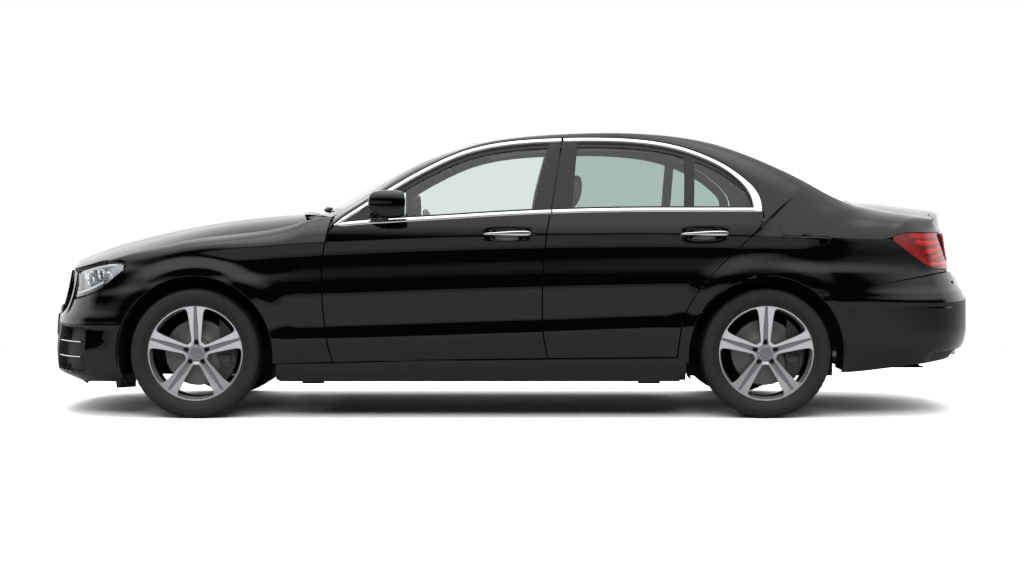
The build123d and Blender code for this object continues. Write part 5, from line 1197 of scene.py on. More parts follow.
def revolved(place_x, profile, segments=128, tread=None, paint=0):
    """Closed profile of (radius, distance out) turned about a left wheel's axle; tread(radius,
    distance, turn) may move the radius."""
    prof = np.asarray(profile, float)
    turn = circle(segments)[None, :]
    r, w = prof[:, :1] + 0 * turn, prof[:, 1:2] + 0 * turn
    r = r if tread is None else tread(r, w, turn)
    made = sheet_of(on_axle(place_x, r * np.sin(turn), w, r * np.cos(turn)), wrap_u=True, wrap_v=True,
                    paint=np.repeat(np.broadcast_to(paint, len(prof))[:, None], segments, 1))
    middle = np.array([place_x, WHEEL_Y, HUB_Z])
    centre_r, centre_w = prof[:, 0].mean(), prof[:, 1].mean()

    def outward(c):
        d = c - middle
        r_c = np.hypot(d[:, 0], d[:, 2])
        spread = unit(np.stack([d[:, 0], 0 * r_c, d[:, 2]], 1))
        return spread * (r_c - centre_r)[:, None] + np.stack([0 * r_c, d[:, 1] - centre_w, 0 * r_c], 1)

    return turned(made, outward)


# Tyre rubber: charcoal, matt, with the faint radial streaks of its mould on the walls.
rubber = mottled("tyre_rubber", "#141415", "#212122", 0.0035, 0.00006, Roughness=0.68, IOR=1.52)
# Machined and lacquered aluminium of the wheels' faces: bright, with fine turning marks.
machined = mottled("diamond_turned_aluminium", "#E4E5E7", "#F2F3F4", 0.0015, 0.00001, Metallic=0.85,
                   Roughness=0.30, Coat_Weight=0.4)
# Grey metallic wheel paint in the grooves, the windows' walls and the barrel.
wheel_paint = mottled("grey_wheel_enamel", "#77787B", "#8B8C8F", 0.0012, 0.00001, Metallic=0.55, Roughness=0.40,
                      Coat_Weight=0.5)
# Near-black enamel as painted shade: it darkens the bolt pockets and the barrel's depth, where shadow falls.
pocket_shade_paint = mottled("dark_wheel_enamel", "#0C0C0D", "#161617", 0.0012, 0.00001, Metallic=0.3, Roughness=0.5)
# Cast iron of the discs, with the rings that the pads leave.
iron = mottled("turned_cast_iron", "#6C6C6D", "#858586", 0.0022, 0.00003, Metallic=0.8, Roughness=0.42)
# Wheel bolts, near black: painted shade, as dark as the pockets that they sit in.
bolt_shade_steel = mottled("bolt_steel_painted_shade", "#1D1D1E", "#2C2C2E", 0.001, 0.00001, Metallic=0.6, Roughness=0.4)

FIFTH = np.pi / 5
spoke_half = line((0.03, 0.0245), (0.065, 0.0250), (0.124, 0.0305), (0.19, 0.0380), (0.224, 0.0440),
                  (0.240, 0.052))
groove_half = line((0.03, 0.0125), (0.124, 0.0122), (0.182, 0.0092), (0.235, 0.0062))
face_out = line((0.0, 0.050), (0.05, 0.052), (0.09, 0.057), (0.16, 0.070), (0.21, 0.081), (0.2415, 0.087))


def wheel_face(place_x):
    """Front of the wheel, one fifth at a time: a grid from the outline of each window between spokes to
    the line of a groove's edge, on to the middles of the spokes, the rim and the hub."""
    near = np.concatenate([np.linspace(0, 0.2, 20), np.linspace(0.22, 1, 34)])
    across = np.linspace(1, -1, 40)[1:-1]
    back = np.linspace(-1, 1, 14)[1:-1]

    def loop(radius, angle):
        r = np.concatenate([radius, 0 * across + radius[-1], radius[::-1], 0 * back + radius[0]])
        a = np.concatenate([angle, across * angle[-1], -angle[::-1], back * angle[0]])
        return np.stack([r * np.sin(a), r * np.cos(a)], 1)

    r = 0.062 + (0.2385 - 0.062) * near
    hole = loop(r, FIFTH - np.arcsin(spoke_half(r) / r))
    for _ in range(14):
        hole = (np.roll(hole, 1, 0) + 2 * hole + np.roll(hole, -1, 0)) / 4
    spine_r = 0.024 + (0.2425 - 0.024) * near
    mid_r = 0.3 * r + 0.7 * spine_r
    mid_r[-1] = 0.2412
    edge = loop(mid_r, FIFTH - np.arcsin(groove_half(mid_r) / mid_r))
    rim = loop(spine_r, FIFTH + 0 * near)
    rows = [hole, hole] + [hole * (1 - k) + edge * k for k in (0.05, 0.15, 0.4, 0.7, 0.97)]
    rows += [edge * (1 - k) + rim * k for k in (0.06, 0.3, 0.55, 0.8, 1.0)]
    level = np.array([0.030, 0.0018] + [0.0] * 10)
    inside = np.concatenate([np.zeros(7), np.ones(5)])
    flat = np.stack(rows)
    radius = np.hypot(flat[..., 0], flat[..., 1])
    groove = inside[:, None] * ramp(radius, 0.036, 0.040) * (1 - ramp(radius, 0.2355, 0.2385))
    angle = np.abs(np.arctan2(flat[..., 0], flat[..., 1]))
    along, off = radius * np.cos(FIFTH - angle), radius * np.sin(FIFTH - angle)
    pocket = inside[:, None] * (1 - ramp(np.hypot(along - 0.056, off), 0.0105, 0.0135))
    hub_dip = 0.0035 * (1 - ramp(radius, 0.044, 0.060)) * (level[:, None] == 0)
    w = (face_out(radius) - level[:, None] - 0.008 * groove * ramp(radius, 0.066, 0.071) - 0.017 * pocket
         - hub_dip)
    # Finish 2 is painted shade in the bolt pockets, 1 the grey wheel paint, 0 the machined face.
    shade = np.where(pocket > 0.6, 2, np.where((groove > 0.5) | (level[:, None] > 0.01), 1, 0))
    shade = np.where((radius < 0.060) & (inside[:, None] < 0.5) & (np.arange(12)[:, None] > 4), 1, shade)
    shade = np.maximum(shade, np.roll(shade, -1, 1))[:-1]
    parts = []
    for k in range(5):
        turn = FIFTH * (2 * k + 1)
        a = flat[..., 0] * np.cos(turn) + flat[..., 1] * np.sin(turn)
        b = flat[..., 1] * np.cos(turn) - flat[..., 0] * np.sin(turn)
        parts.append(sheet_of(on_axle(place_x, a, w, b), wrap_u=True, paint=shade))
    return turned(joined(*parts, weld=4e-5), (0, 1, 0))


rim_ring = [(0.2418, 0.0868), (0.2450, 0.0872), (0.2480, 0.0885), (0.2505, 0.0912), (0.2528, 0.0948),
            (0.2548, 0.0965), (0.2566, 0.0958), (0.2572, 0.0935), (0.2565, 0.0915), (0.2540, 0.0900),
            (0.2425, 0.0875), (0.2400, 0.0850), (0.2375, 0.0800), (0.2355, 0.070), (0.2345, 0.055),
            (0.2335, 0.035), (0.2325, 0.012), (0.2325, -0.075), (0.2365, -0.092), (0.2540, -0.1000),
            (0.2560, -0.1040), (0.2540, -0.1070), (0.2500, -0.1070), (0.2330, -0.098), (0.2280, -0.080),
            (0.2275, 0.010), (0.2285, 0.0300), (0.2305, 0.0330), (0.2315, 0.0500), (0.2335, 0.0520),
            (0.2350, 0.0660), (0.2372, 0.0800)]
# Finish of each row of the rim: 0 machined, 1 grey paint, 2 painted shade over the barrel's inboard depth and
# rear flange.
rim_shade = np.array([0] * 10 + [1] * 7 + [2] * 9 + [1] * 5 + [0])
outer = [(0.2440, 0.0940), (0.2590, 0.1012), (0.2606, 0.1050), (0.2640, 0.1088), (0.2672, 0.1112),
         (0.2700, 0.1118), (0.2712, 0.1108), (0.2730, 0.1125), (0.2800, 0.1158), (0.2900, 0.1178),
         (0.3010, 0.1179), (0.3090, 0.1170), (0.3120, 0.1164), (0.3126, 0.1152), (0.3160, 0.1140),
         (0.3220, 0.1108), (0.3275, 0.1045), (0.3310, 0.0970), (0.3330, 0.0880), (0.3338, 0.0780),
         (0.3340, 0.0675), (0.3268, 0.0660), (0.3268, 0.0580), (0.3340, 0.0565), (0.3340, 0.0420),
         (0.3340, 0.0272), (0.3268, 0.0258), (0.3268, 0.0182), (0.3340, 0.0168)]
section = outer + [(r, -w) for r, w in outer[::-1]]


def treaded(r, w, turn):
    """Cross grooves: the shoulder and rib blocks are cut 4 mm deep, sixty to the turn, leaning with w."""
    phase = (turn / (2 * np.pi) * TREAD_BLOCKS + np.abs(w) * 9.0) % 1.0
    cut_in = (phase < 0.30) & (r > 0.3265) & (np.abs(w) < 0.099)
    return np.where(cut_in & (r > 0.330), r - 0.004, r)


def hexagon(place_x, radius, angle, w, size, high):
    """Bolt head: six-sided, with a chamfered top, on a wheel's face."""
    a0, b0 = radius * np.sin(angle), radius * np.cos(angle)
    turn = circle(6)[None, :]
    prof = np.array([(0.0, 0.0), (1.35, 0.0), (1.35, 0.15), (1.0, 0.3), (1.0, 0.85), (0.86, 1.0), (0.45, 1.0),
                     (0.40, 0.7), (0.0, 0.7)])
    r, up = prof[:, :1] * size, prof[:, 1:] * high
    head = on_axle(place_x, a0 + r * np.sin(turn), w + up, b0 + r * np.cos(turn))
    return turned(joined(sheet_of(head, wrap_u=True), weld=1e-7), lambda c: c - on_axle(place_x, a0, w, b0))


disc_hat = [(0.034, 0.026), (0.068, 0.026), (0.073, 0.022), (0.075, -0.010), (0.090, -0.0135),
            (0.0915, -0.0145), (0.169, -0.0145), (0.1715, -0.017), (0.1715, -0.0245), (0.166, -0.0250),
            (0.166, -0.0355), (0.1715, -0.0360), (0.1715, -0.0435), (0.169, -0.0455), (0.090, -0.0455),
            (0.066, -0.0400), (0.062, 0.016), (0.034, 0.018)]
for place, x_at in (("front", FRONT_X), ("rear", REAR_X)):
    on = f"{place}_wheel_{{}}"
    face = wheel_face(x_at)
    barrel = revolved(x_at, rim_ring, 120, paint=rim_shade)
    pair(f"{place}_alloy_wheel_{{}}", joined(face, barrel), [machined, wheel_paint, pocket_shade_paint], on,
         [f"{place}_rim_{{}}"], sharp=30)
    cap = [(0.0, 0.0520), (0.018, 0.0518), (0.0265, 0.0508), (0.0272, 0.0500), (0.0290, 0.0502),
           (0.0318, 0.0508), (0.0330, 0.0490), (0.0330, 0.0400), (0.0, 0.0400)]
    pair(f"{place}_wheel_cap_{{}}", joined(revolved(x_at, cap, 48)), wheel_paint, on)
    # Bolt heads in the pockets, near black as painted shade.
    bolts = [hexagon(x_at, 0.056, 2 * FIFTH * k, 0.0330, 0.0080, 0.009) for k in range(5)]
    pair(f"{place}_wheel_bolts_{{}}", joined(*bolts), bolt_shade_steel, on, sharp=25)
    hat = joined(revolved(x_at, disc_hat, 96))
    pair(f"{place}_brake_disc_{{}}", hat, iron, on)
    pair(f"{place}_tyre_skin_{{}}", revolved(x_at, section, 240, treaded), rubber, on,
         [f"{place}_tyre_{{}}"], sharp=30)

# Brake calipers' outer faces, over the castings behind the axle: two pistons, a bridge and its bolts.
caliper_grey = mottled("caliper_casting_enamel", "#38393B", "#4D4E50", 0.002, 0.00012, Metallic=0.2,
                       Roughness=0.5)
for place, x_at, on in (("front", FRONT_X, "knuckle_{}"), ("rear", REAR_X, "body")):
    lumps = []
    for angle, radius, half in ((78, 0.150, (0.030, 0.0045, 0.026)), (102, 0.150, (0.030, 0.0045, 0.026)),
                                (90, 0.188, (0.011, 0.0050, 0.052)), (90, 0.118, (0.010, 0.0040, 0.040)),
                                (67, 0.176, (0.010, 0.0050, 0.010)), (113, 0.176, (0.010, 0.0050, 0.010))):
        turn = np.radians(angle)
        at = (x_at - radius * np.sin(turn), 0.7965, HUB_Z + radius * np.cos(turn))
        lumps.append(swell(at, half, (0.55, 0.55), cols=32, rows=16))
    pair(f"{place}_caliper_face_{{}}", joined(*lumps), caliper_grey, on)

# ---------------------------------------------------------------- arch liners, undertray, sills
# Needled felt and moulded plastic of the arches: black, rough.
liner = mottled("arch_liner_plastic", "#0A0A0A", "#121212", 0.006, 0.0006, Roughness=0.85, IOR=1.49)
for place, x_at, inner_y, low, high in (("front", FRONT_X, 0.456, -21, 201), ("rear", REAR_X, 0.575, -20, 193)):
    turn = np.radians(np.linspace(low, high, 90))[None, :]
    out_to = np.array([0.905, 0.88, 0.8, 0.7, 0.6, inner_y + 0.01])[:, None]
    rib = 0.0015 * (np.sin(turn * 40) > 0.6) * (out_to < 0.85)
    radius = 0.4065 - rib + 0 * turn
    reach = np.minimum(out_to, np.interp(np.degrees(turn), [low, 4, 176, high], [0.85, 0.905, 0.905, 0.85]))
    shell = sheet_of(np.stack([x_at + radius * np.cos(turn), reach, HUB_Z + radius * np.sin(turn)], -1))
    shell = walled(turned(shell, lambda c, a=x_at: np.array([a, 0.7, HUB_Z]) - c), 0.0022)
    x = np.linspace(-0.385, 0.385, 40)[None, :]
    v = np.linspace(0, 1, 8)[:, None]
    z = 0.196 + (0.330 - 0.196) * v + 0 * x
    skirt = walled(field(x_at + x, inner_y - 0.002 + 0.002 * np.sin(z * 90), z, (0, 1, 0)), 0.004)
    pair(f"{place}_arch_liner_{{}}", joined(shell, skirt), liner)
deflector = capped(np.stack([np.stack([np.array([2.010, 2.040, 2.036, 2.014]) - 0.04 * (1 - k),
                                       np.full(4, 0.60 + 0.25 * k) - 0.03 * np.array([0, 0, 1, 1]) * k,
                                       np.array([0.215, 0.215, 0.140, 0.140]) + 0.012 * k], 1)
                             for k in np.linspace(0, 1, 12)]))
pair("air_deflector_{}", deflector, plastic)
for name, x0, x1, half, z_at in (("front_undertray", 1.21, 2.34, 0.445, 0.196),
                                 ("rear_undertray", -2.20, -1.76, 0.52, 0.235)):
    x = np.linspace(x0, x1, 60)[None, :]
    y = np.linspace(-half, half, 40)[:, None]
    rib = 0.004 * ramp(np.sin(y * 2 * np.pi / 0.11), 0.4, 0.8)
    tray = field(x, y, z_at + rib, (0, 0, -1))
    piece(name, walled(tray, 0.003), liner)

x = np.linspace(1.205, -0.905, 120)[None, :]
v = np.linspace(0, 1, 15)[:, None]
z_top = sill_line(x) - 0.004
y_of = line((0.0, 0.846), (0.10, 0.872), (0.24, 0.884), (0.40, 0.8885), (0.78, 0.8965), (1.0, 0.899))
bow_in = 0.010 * ramp(np.abs(x - 0.15), 0.85, 1.05)
skin = sheet_of(np.stack([x + 0 * v, y_of(v) - bow_in, SILL_FOOT + (z_top - SILL_FOOT) * v], -1))
foot = sheet_of(np.stack([x + 0 * v[:4], 0.700 + (0.846 - 0.700) * np.linspace(0, 1, 4)[:, None] - bow_in,
                          SILL_FOOT + 0.004 - 0.004 * np.linspace(0, 1, 4)[:, None] + 0 * x], -1))
pair("sill_skin_{}", walled(turned(joined(foot, skin), (0, 1, -0.3)), 0.010), paint)

# ---------------------------------------------------------------- tail lamps
# Red polycarbonate of the tail lamps' covers.
red_clear = see_through("red_polycarbonate", "#F26A6A", "#F26A6A", LENS_IOR)
# Faceted red reflector inside: bright red with a prism pattern.
red_prism = mottled("red_prism_reflector", "#C01A1E", "#EE3C38", 0.004, 0.0004, "cells", Roughness=0.25,
                    IOR=1.58, Metallic=0.2)
dark_red = mottled("dark_red_polycarbonate", "#6A0E14", "#8A181E", 0.004, 0.0001, Roughness=0.15, IOR=1.58)

S_TAIL_TIP, S_TAIL_IN = float(s_of(-2.000)), float(s_of_y(0.570, tail=True))
tail_top = lambda x: np.minimum(over_tail(x) - 0.004, 0.9530)
tail_base = lambda x: np.minimum(tail_low(x) + 0.003, tail_top(x) - 0.004)
shape = sheet_of(flank_patch(S_TAIL_TIP, S_TAIL_IN, tail_base, tail_top, 90, 30, 0.003))
pair("tail_lamp_cover_{}", walled(turned(shape, (-1, 1, 0)), 0.003), red_clear, replaces=["tail_lamps"])
u = np.linspace(0, 1, 90)[None, :]
v = np.linspace(0, 1, 30)[:, None]
deep = 0.010 + 0.035 * bell(u, 0.5, 0.7) * bell(v, 0.5, 0.56) ** 0.5
shape = sheet_of(flank_patch(S_TAIL_TIP, S_TAIL_IN, tail_base, tail_top, 90, 30, deep))
pair("tail_lamp_housing_{}", walled(turned(shape, (-1, 1, 0)), 0.003), dark_red)


def lamp_bar(ends, share, size, sink):
    """Bar inside a tail lamp between two shares of its length; share is its height's share at each end."""
    t = np.linspace(*ends, 20)
    s_path = S_TAIL_TIP + (S_TAIL_IN - S_TAIL_TIP) * t
    x_path = x_of(s_path)
    z_path = tail_base(x_path) + (tail_top(x_path) - tail_base(x_path)) * np.linspace(*share, 20)
    return hose(flank(s_path, z_path) - out_of(s_path) * sink, size, size * 1.5, 60, 14)


reds = [lamp_bar((0.22, 0.97), (0.90, 0.91), 0.010, 0.020), lamp_bar((0.30, 0.97), (0.66, 0.74), 0.009, 0.020),
        lamp_bar((0.46, 0.97), (0.44, 0.58), 0.009, 0.020), lamp_bar((0.60, 0.97), (0.30, 0.42), 0.007, 0.020)]
pair("tail_lamp_blades_{}", joined(*reds), red_prism)
pair("reversing_lamp_{}", lamp_bar((0.52, 0.96), (0.10, 0.16), 0.006, 0.012), guide)


def lid_back(y, z, lift=0.0):
    """Point of the boot lid's rear face at y and z, moved out by lift."""
    order = np.argsort(spine[:, 1])
    x = np.interp(z, spine[order, 1], spine[order, 0]) + 0.065 * np.abs(y / LID_HALF) ** 2.4
    return np.stack(np.broadcast_arrays(x - lift, y, z), -1)


y = np.linspace(0.345, 0.556, 40)[None, :]
v = np.linspace(0, 1, 24)[:, None]
low = 0.800 + 0.055 * (1 - ramp(y, 0.345, 0.44))
top = 0.950 - 0.035 * (1 - ramp(y, 0.345, 0.40))
height = low + (top - low) * v
for name, lift, look, thick in (("cover", 0.005, red_clear, 0.003), ("housing", -0.004, dark_red, 0.006)):
    shape = turned(sheet_of(lid_back(y, height, lift - 0.004 * np.abs(2 * v - 1) ** 8)), (-1, 0, 0))
    pair(f"lid_lamp_{name}_{{}}", walled(shape, thick), look, "boot_lid")
reds = []
for share, start in ((0.86, 0.395), (0.62, 0.375), (0.38, 0.385), (0.15, 0.43)):
    run = np.linspace(start, 0.548, 14)
    at = np.interp(run, y[0], low[0]) + (np.interp(run, y[0], top[0]) - np.interp(run, y[0], low[0])) * share
    reds.append(hose(lid_back(run, at, -0.001), 0.0035, 0.009, 40, 14))
pair("lid_lamp_blades_{}", joined(*reds), red_prism, "boot_lid")

# Rolled edge of each arch: a thin painted bead that catches the light.
for place, x_at, low, high in (("front", FRONT_X, -6, 184), ("rear", REAR_X, -4, 186)):
    turn = np.radians(np.linspace(low, high, 60))
    a, b = x_at + ARCH_R * np.cos(turn), HUB_Z + ARCH_R * np.sin(turn)
    rim = side_at(a, b) - np.array([0, 0.004, 0])
    pair(f"{place}_arch_edge_{{}}", hose(rim, 0.0035, 0.0030, 160, 10, twist=(0, 1, 0)), paint)

# ---------------------------------------------------------------- cabin materials
# Semi-aniline leather: near-black, softly glossy, with a fine creased grain.
leather = mottled("semi_aniline_leather", "#0E0E10", "#1E1E20", 0.0028, 0.00022, "cells", Roughness=0.48,
                  IOR=1.5, Coat_Weight=0.12)
# Soft slush-moulded skin of the dashboard and door tops.
skin_vinyl = mottled("slush_moulded_vinyl", "#121214", "#1F1F21", 0.0012, 0.00012, "cells", Roughness=0.6,
                     IOR=1.5)
# Grey knitted headlining: a fine loop texture that scatters light.
knit = mottled("knitted_headlining", "#8C8A86", "#A5A39E", 0.0018, 0.0003, "cells", Roughness=0.95,
               Sheen_Weight=0.3)
# Needle felt: floor covering, boot lining and underbody shields.
felt = mottled("needle_felt", "#0D0D0E", "#1C1C1E", 0.003, 0.0008, detail=6.0, Roughness=1.0, Sheen_Weight=0.2)
# Open-pore ash veneer of the trim strips: dark brown, grained lengthwise.
veneer = mottled("open_pore_ash", "#1E1611", "#3B2C21", 0.006, 0.00015, detail=6.0, stretch=(0.08, 1.0, 1.6),
                 Roughness=0.42, IOR=1.5)
# Body shell inside: the same black, thinly sprayed, with orange-peel texture.
shell = mottled("thin_black_enamel", "#08080A", "#0E0E10", 0.004, 0.00008, Roughness=0.32, IOR=1.5)
# Dipped primer of rails and bulkheads, with a dusty mottle.
primer = mottled("electrocoat_primer", "#121213", "#1D1D1D", 0.02, 0.00015, detail=5.0, Roughness=0.6, IOR=1.5)
# Rubbery stone-guard under the sills: coarse orange peel.
stone_guard = mottled("stone_guard_coating", "#0C0C0C", "#171717", 0.003, 0.0005, Roughness=0.8, IOR=1.5)
# Sand-cast aluminium of the engine and gearbox: dull grey, pitted.
casting = mottled("sand_cast_aluminium", "#6A6B6C", "#8D8E8F", 0.0025, 0.0004, Metallic=0.8, Roughness=0.55)
# Stainless exhaust pipe, with straw-coloured heat stains.
stainless = mottled("heat_stained_stainless", "#77706A", "#A29E99", 0.05, 0.00005, detail=4.0, Metallic=1.0,
                    Roughness=0.34)
# Forged and machined steel of hubs and knuckles, with a thin rust bloom.
forging = mottled("forged_steel", "#3A3634", "#5B5856", 0.012, 0.0002, detail=5.0, Metallic=0.7, Roughness=0.5)

for look, nodes in ((felt, ["floor"]), (shell, ["hinges"]), (primer, ["bulkheads", "chassis_rails", "subframes"]),
                    (stone_guard, ["sills"]), (casting, ["engine"]), (liner, ["wheel_housings"]),
                    (forging, ["rear_hubs", "knuckle_left", "knuckle_right"])):
    for node in nodes:
        for held in bpy.data.objects[node].material_slots:
            held.material = look


# Pressed-steel ring round the doors inside the painted skin, with the centre pillar and the hinge posts.
ring = house_grid[:, :len(frame_edge)]
inward = unit(np.cross(np.gradient(ring, axis=0), np.gradient(ring, axis=1)))
rail = walled(turned(sheet_of(ring - inward * np.sign(inward[..., 1:2]) * 0.013), (0, 1, 0.5)), 0.012)
lean = np.linspace(1.03, 1.425, 12)
pillar = hose(np.stack([-0.213 - 0.153 * (lean - 1.08), house_y(lean) - 0.047, lean], 1), 0.010, 0.040, 40, 28,
              (1, 0, 0), 0.35)
posts = [hose([(x, y, low), (x, y, high)], half_y, half_x, 8, 40, (1, 0, 0), 0.25)
         for x, y, low, high, half_x, half_y in ((-0.200, 0.699, 0.292, 1.062, 0.100, 0.059),
                                                 (0.9875, 0.750, 0.292, 0.985, 0.0115, 0.008),
                                                 (-0.152, 0.796, 0.490, 0.830, 0.007, 0.039),
                                                 (0.983, 0.796, 0.490, 0.830, 0.007, 0.039))]
pair("door_ring_{}", joined(rail, pillar, *posts), shell, replaces=["side_frames"])

# ---------------------------------------------------------------- seats
def pad_form(spine_rows, power=0.42, cols=72, rows=56):
    """Cushion before it is filled: a rounded box bent along a spine.  A spine row is (x, z, half
    thickness, half width, middle y); the thickness runs across the spine in the side view."""
    at = line(*[(k, *row) for k, row in enumerate(spine_rows)])

    def bend(p):
        k = (p[..., 0] + 1) / 2 * (len(spine_rows) - 1)
        mid, ahead, behind = at(k), at(k + 0.02), at(k - 0.02)
        way = unit((ahead - behind)[..., :2])
        side = p[..., 1]
        thick = mid[..., 2] * (1 + 0.10 * bell(np.abs(side), 0.82, 0.22) * (p[..., 2] > 0))
        return np.stack([mid[..., 0] - way[..., 1] * p[..., 2] * thick, mid[..., 4] + side * mid[..., 3],
                         mid[..., 1] + way[..., 0] * p[..., 2] * thick], -1)

    p, f, s = swell((0, 0, 0), (1, 1, 1), (power, power), bend, cols, rows)
    centre = p.mean(0)
    return turned((p, f, s), lambda c: c - centre)


def filled(name, node, cell, cap, spine_rows, seams, copies=(), cols=72, rows=56, groove=(0.005, 0.009),
           body="body", fill=0.7):
    """Sewn pad: the form is remeshed to cells, swollen by cloth pressure, each point kept within cap of its
    start, then grooved along its seams; copies are (name, shift in y, mirrored) of the result."""
    start = piece(name, pad_form(spine_rows, cols=cols, rows=rows), leather, body)
    scene = bpy.context.scene
    remesh = start.modifiers.new("remesh", "REMESH")
    remesh.mode, remesh.voxel_size = "VOXEL", cell
    apply_live(start)
    before = corners_of(start.data)
    cloth = start.modifiers.new("cloth", "CLOTH")
    cloth.settings.quality = 4
    cloth.settings.use_pressure = True
    cloth.settings.uniform_pressure_force = 4.0
    cloth.settings.effector_weights.gravity = 0.0
    cloth.point_cache.frame_start, cloth.point_cache.frame_end = 1, 20
    for tick in range(1, 21):
        scene.frame_set(tick)
    apply_live(start)
    scene.frame_set(1)
    mesh = start.data
    moved = corners_of(mesh) - before
    far = np.linalg.norm(moved, axis=1, keepdims=True)
    swollen = before + moved * np.minimum(1.0, cap / np.maximum(far, 1e-9))
    mesh.vertices.foreach_set("co", swollen.astype(np.float32).ravel())
    mesh.update()
    smooth = start.modifiers.new("subdivision", "SUBSURF")
    smooth.levels = smooth.render_levels = 1
    apply_live(start)
    mesh = start.data
    at = grooved(corners_of(mesh), seams, *groove)
    mesh.vertices.foreach_set("co", at.astype(np.float32).ravel())
    mesh.polygons.foreach_set("use_smooth", np.ones(len(mesh.polygons), bool))
    mesh.update()
    made = [start]
    for copy_name, shift, flip in copies:
        twin = mesh.copy()
        p = corners_of(twin) * np.array([1, -1 if flip else 1, 1]) + np.array([0, shift, 0])
        twin.vertices.foreach_set("co", p.astype(np.float32).ravel())
        if flip:
            twin.flip_normals()
        twin.update()
        other = bpy.data.objects.new(copy_name, twin)
        bpy.context.scene.collection.objects.link(other)
        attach(other, body)
        made.append(other)
    for k, obj in enumerate(made):
        if node and k == 0:
            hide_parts(node)


def corners_of(mesh):
    """Corners of a mesh as rows of x, y, z."""
    flat = np.empty(len(mesh.vertices) * 3, np.float32)
    mesh.vertices.foreach_get("co", flat)
    return flat.reshape(-1, 3).astype(float)


def apply_live(obj):
    """The object's modifiers made part of its mesh, and taken off."""
    bpy.context.view_layer.update()
    shown = obj.evaluated_get(bpy.context.evaluated_depsgraph_get())
    fresh = bpy.data.meshes.new_from_object(shown)
    obj.modifiers.clear()
    obj.data = fresh


def grooved(p, seams, depth, half):
    """Points p, drawn in near each seam towards the middle of the pad.  A seam is (axis that it is
    measured along, its place, middle of the pad in the side view)."""
    for axis, place, middle in seams:
        near = bell(p[:, axis], place, half)
        inward = np.array([middle[0], 0, middle[1]]) - p * np.array([1, 0, 1])
        p = p + unit(inward) * (near * depth)[:, None]
    return p


SMALL_PAD = {"cols": 48, "groove": (0.003, 0.006)}
filled("front_cushion_left", "front_seats", 0.013, 0.012,
       [(-0.075, 0.398, 0.012, SEAT_HALF, SEAT_Y), (0.05, 0.419, 0.034, SEAT_HALF, SEAT_Y),
        (0.19, 0.442, 0.040, SEAT_HALF, SEAT_Y), (0.315, 0.462, 0.026, SEAT_HALF - 0.01, SEAT_Y)],
       [(1, 0.235, (0.1, 0.42)), (1, 0.505, (0.1, 0.42)), (0, 0.20, (0.1, 0.30)), (0, 0.08, (0.1, 0.30))],
       [("front_cushion_right", 0.0, True)])
filled("front_backrest_left", None, 0.013, 0.012,
       [(-0.130, 0.505, 0.040, SEAT_HALF, SEAT_Y), (-0.168, 0.66, 0.052, SEAT_HALF, SEAT_Y),
        (-0.222, 0.84, 0.045, SEAT_HALF - 0.006, SEAT_Y), (-0.272, 1.035, 0.024, SEAT_HALF - 0.03, SEAT_Y)],
       [(1, 0.235, (-0.2, 0.77)), (1, 0.505, (-0.2, 0.77)), (2, 0.64, (-0.3, 0.68)), (2, 0.76, (-0.3, 0.78)),
        (2, 0.90, (-0.3, 0.90))],
       [("front_backrest_right", 0.0, True)])
filled("front_headrest_left", None, 0.009, 0.007,
       [(-0.315, 1.078, 0.022, 0.10, SEAT_Y), (-0.345, 1.16, 0.032, 0.118, SEAT_Y),
        (-0.357, 1.262, 0.016, 0.108, SEAT_Y)],
       [(1, 0.285, (-0.34, 1.17)), (1, 0.455, (-0.34, 1.17))],
       [("front_headrest_right", 0.0, True)], rows=40, **SMALL_PAD)
filled("rear_cushion", "rear_seat", 0.016, 0.012,
       [(-0.985, 0.425, 0.030, 0.582, 0.0), (-0.82, 0.438, 0.046, 0.582, 0.0),
        (-0.625, 0.452, 0.040, 0.576, 0.0)],
       [(1, 0.20, (-0.82, 0.42)), (1, -0.20, (-0.82, 0.42)), (0, -0.74, (-0.82, 0.30))], cols=96)
filled("rear_backrest", None, 0.016, 0.012,
       [(-1.035, 0.575, 0.030, 0.575, 0.0), (-1.080, 0.76, 0.040, 0.575, 0.0),
        (-1.148, 0.955, 0.024, 0.56, 0.0)],
       [(1, 0.20, (-1.08, 0.77)), (1, -0.20, (-1.08, 0.77)), (2, 0.70, (-1.25, 0.72)), (2, 0.84, (-1.25, 0.85))],
       cols=96)
filled("rear_headrest_left", None, 0.009, 0.006,
       [(-1.150, 0.998, 0.022, 0.098, 0.34), (-1.154, 1.05, 0.026, 0.104, 0.34),
        (-1.160, 1.095, 0.016, 0.098, 0.34)],
       [(1, 0.27, (-1.155, 1.045)), (1, 0.41, (-1.155, 1.045))],
       [("rear_headrest_middle", -0.34, False), ("rear_headrest_right", 0.0, True)], rows=36, **SMALL_PAD)
posts = [hose([(-0.300, y, 1.02), (-0.318, y, 1.10)], 0.006, 0.006, 8, 14) for y in (0.32, 0.42)]
posts += [hose([(-1.155, y, 0.955), (-1.155, y, 1.02)], 0.005, 0.005, 8, 14) for y in (0.30, 0.38)]
pair("headrest_posts_{}", joined(*posts), chrome)
runners = [hose([(-0.11, y, 0.262), (0.29, y, 0.262)], 0.020, 0.026, 12, 16, power=0.4) for y in (0.22, 0.52)]
pan = hose([(-0.09, SEAT_Y, 0.325), (0.30, SEAT_Y, 0.345)], 0.20, 0.040, 30, 24, power=0.4)
back_shell = hose([(-0.200, SEAT_Y, 0.44), (-0.262, SEAT_Y, 0.72), (-0.318, SEAT_Y, 1.00)], 0.19, 0.010, 40, 24,
                  twist=(1, 0, 0), power=0.5)
pair("seat_frame_{}", joined(*runners, pan, back_shell), plastic)

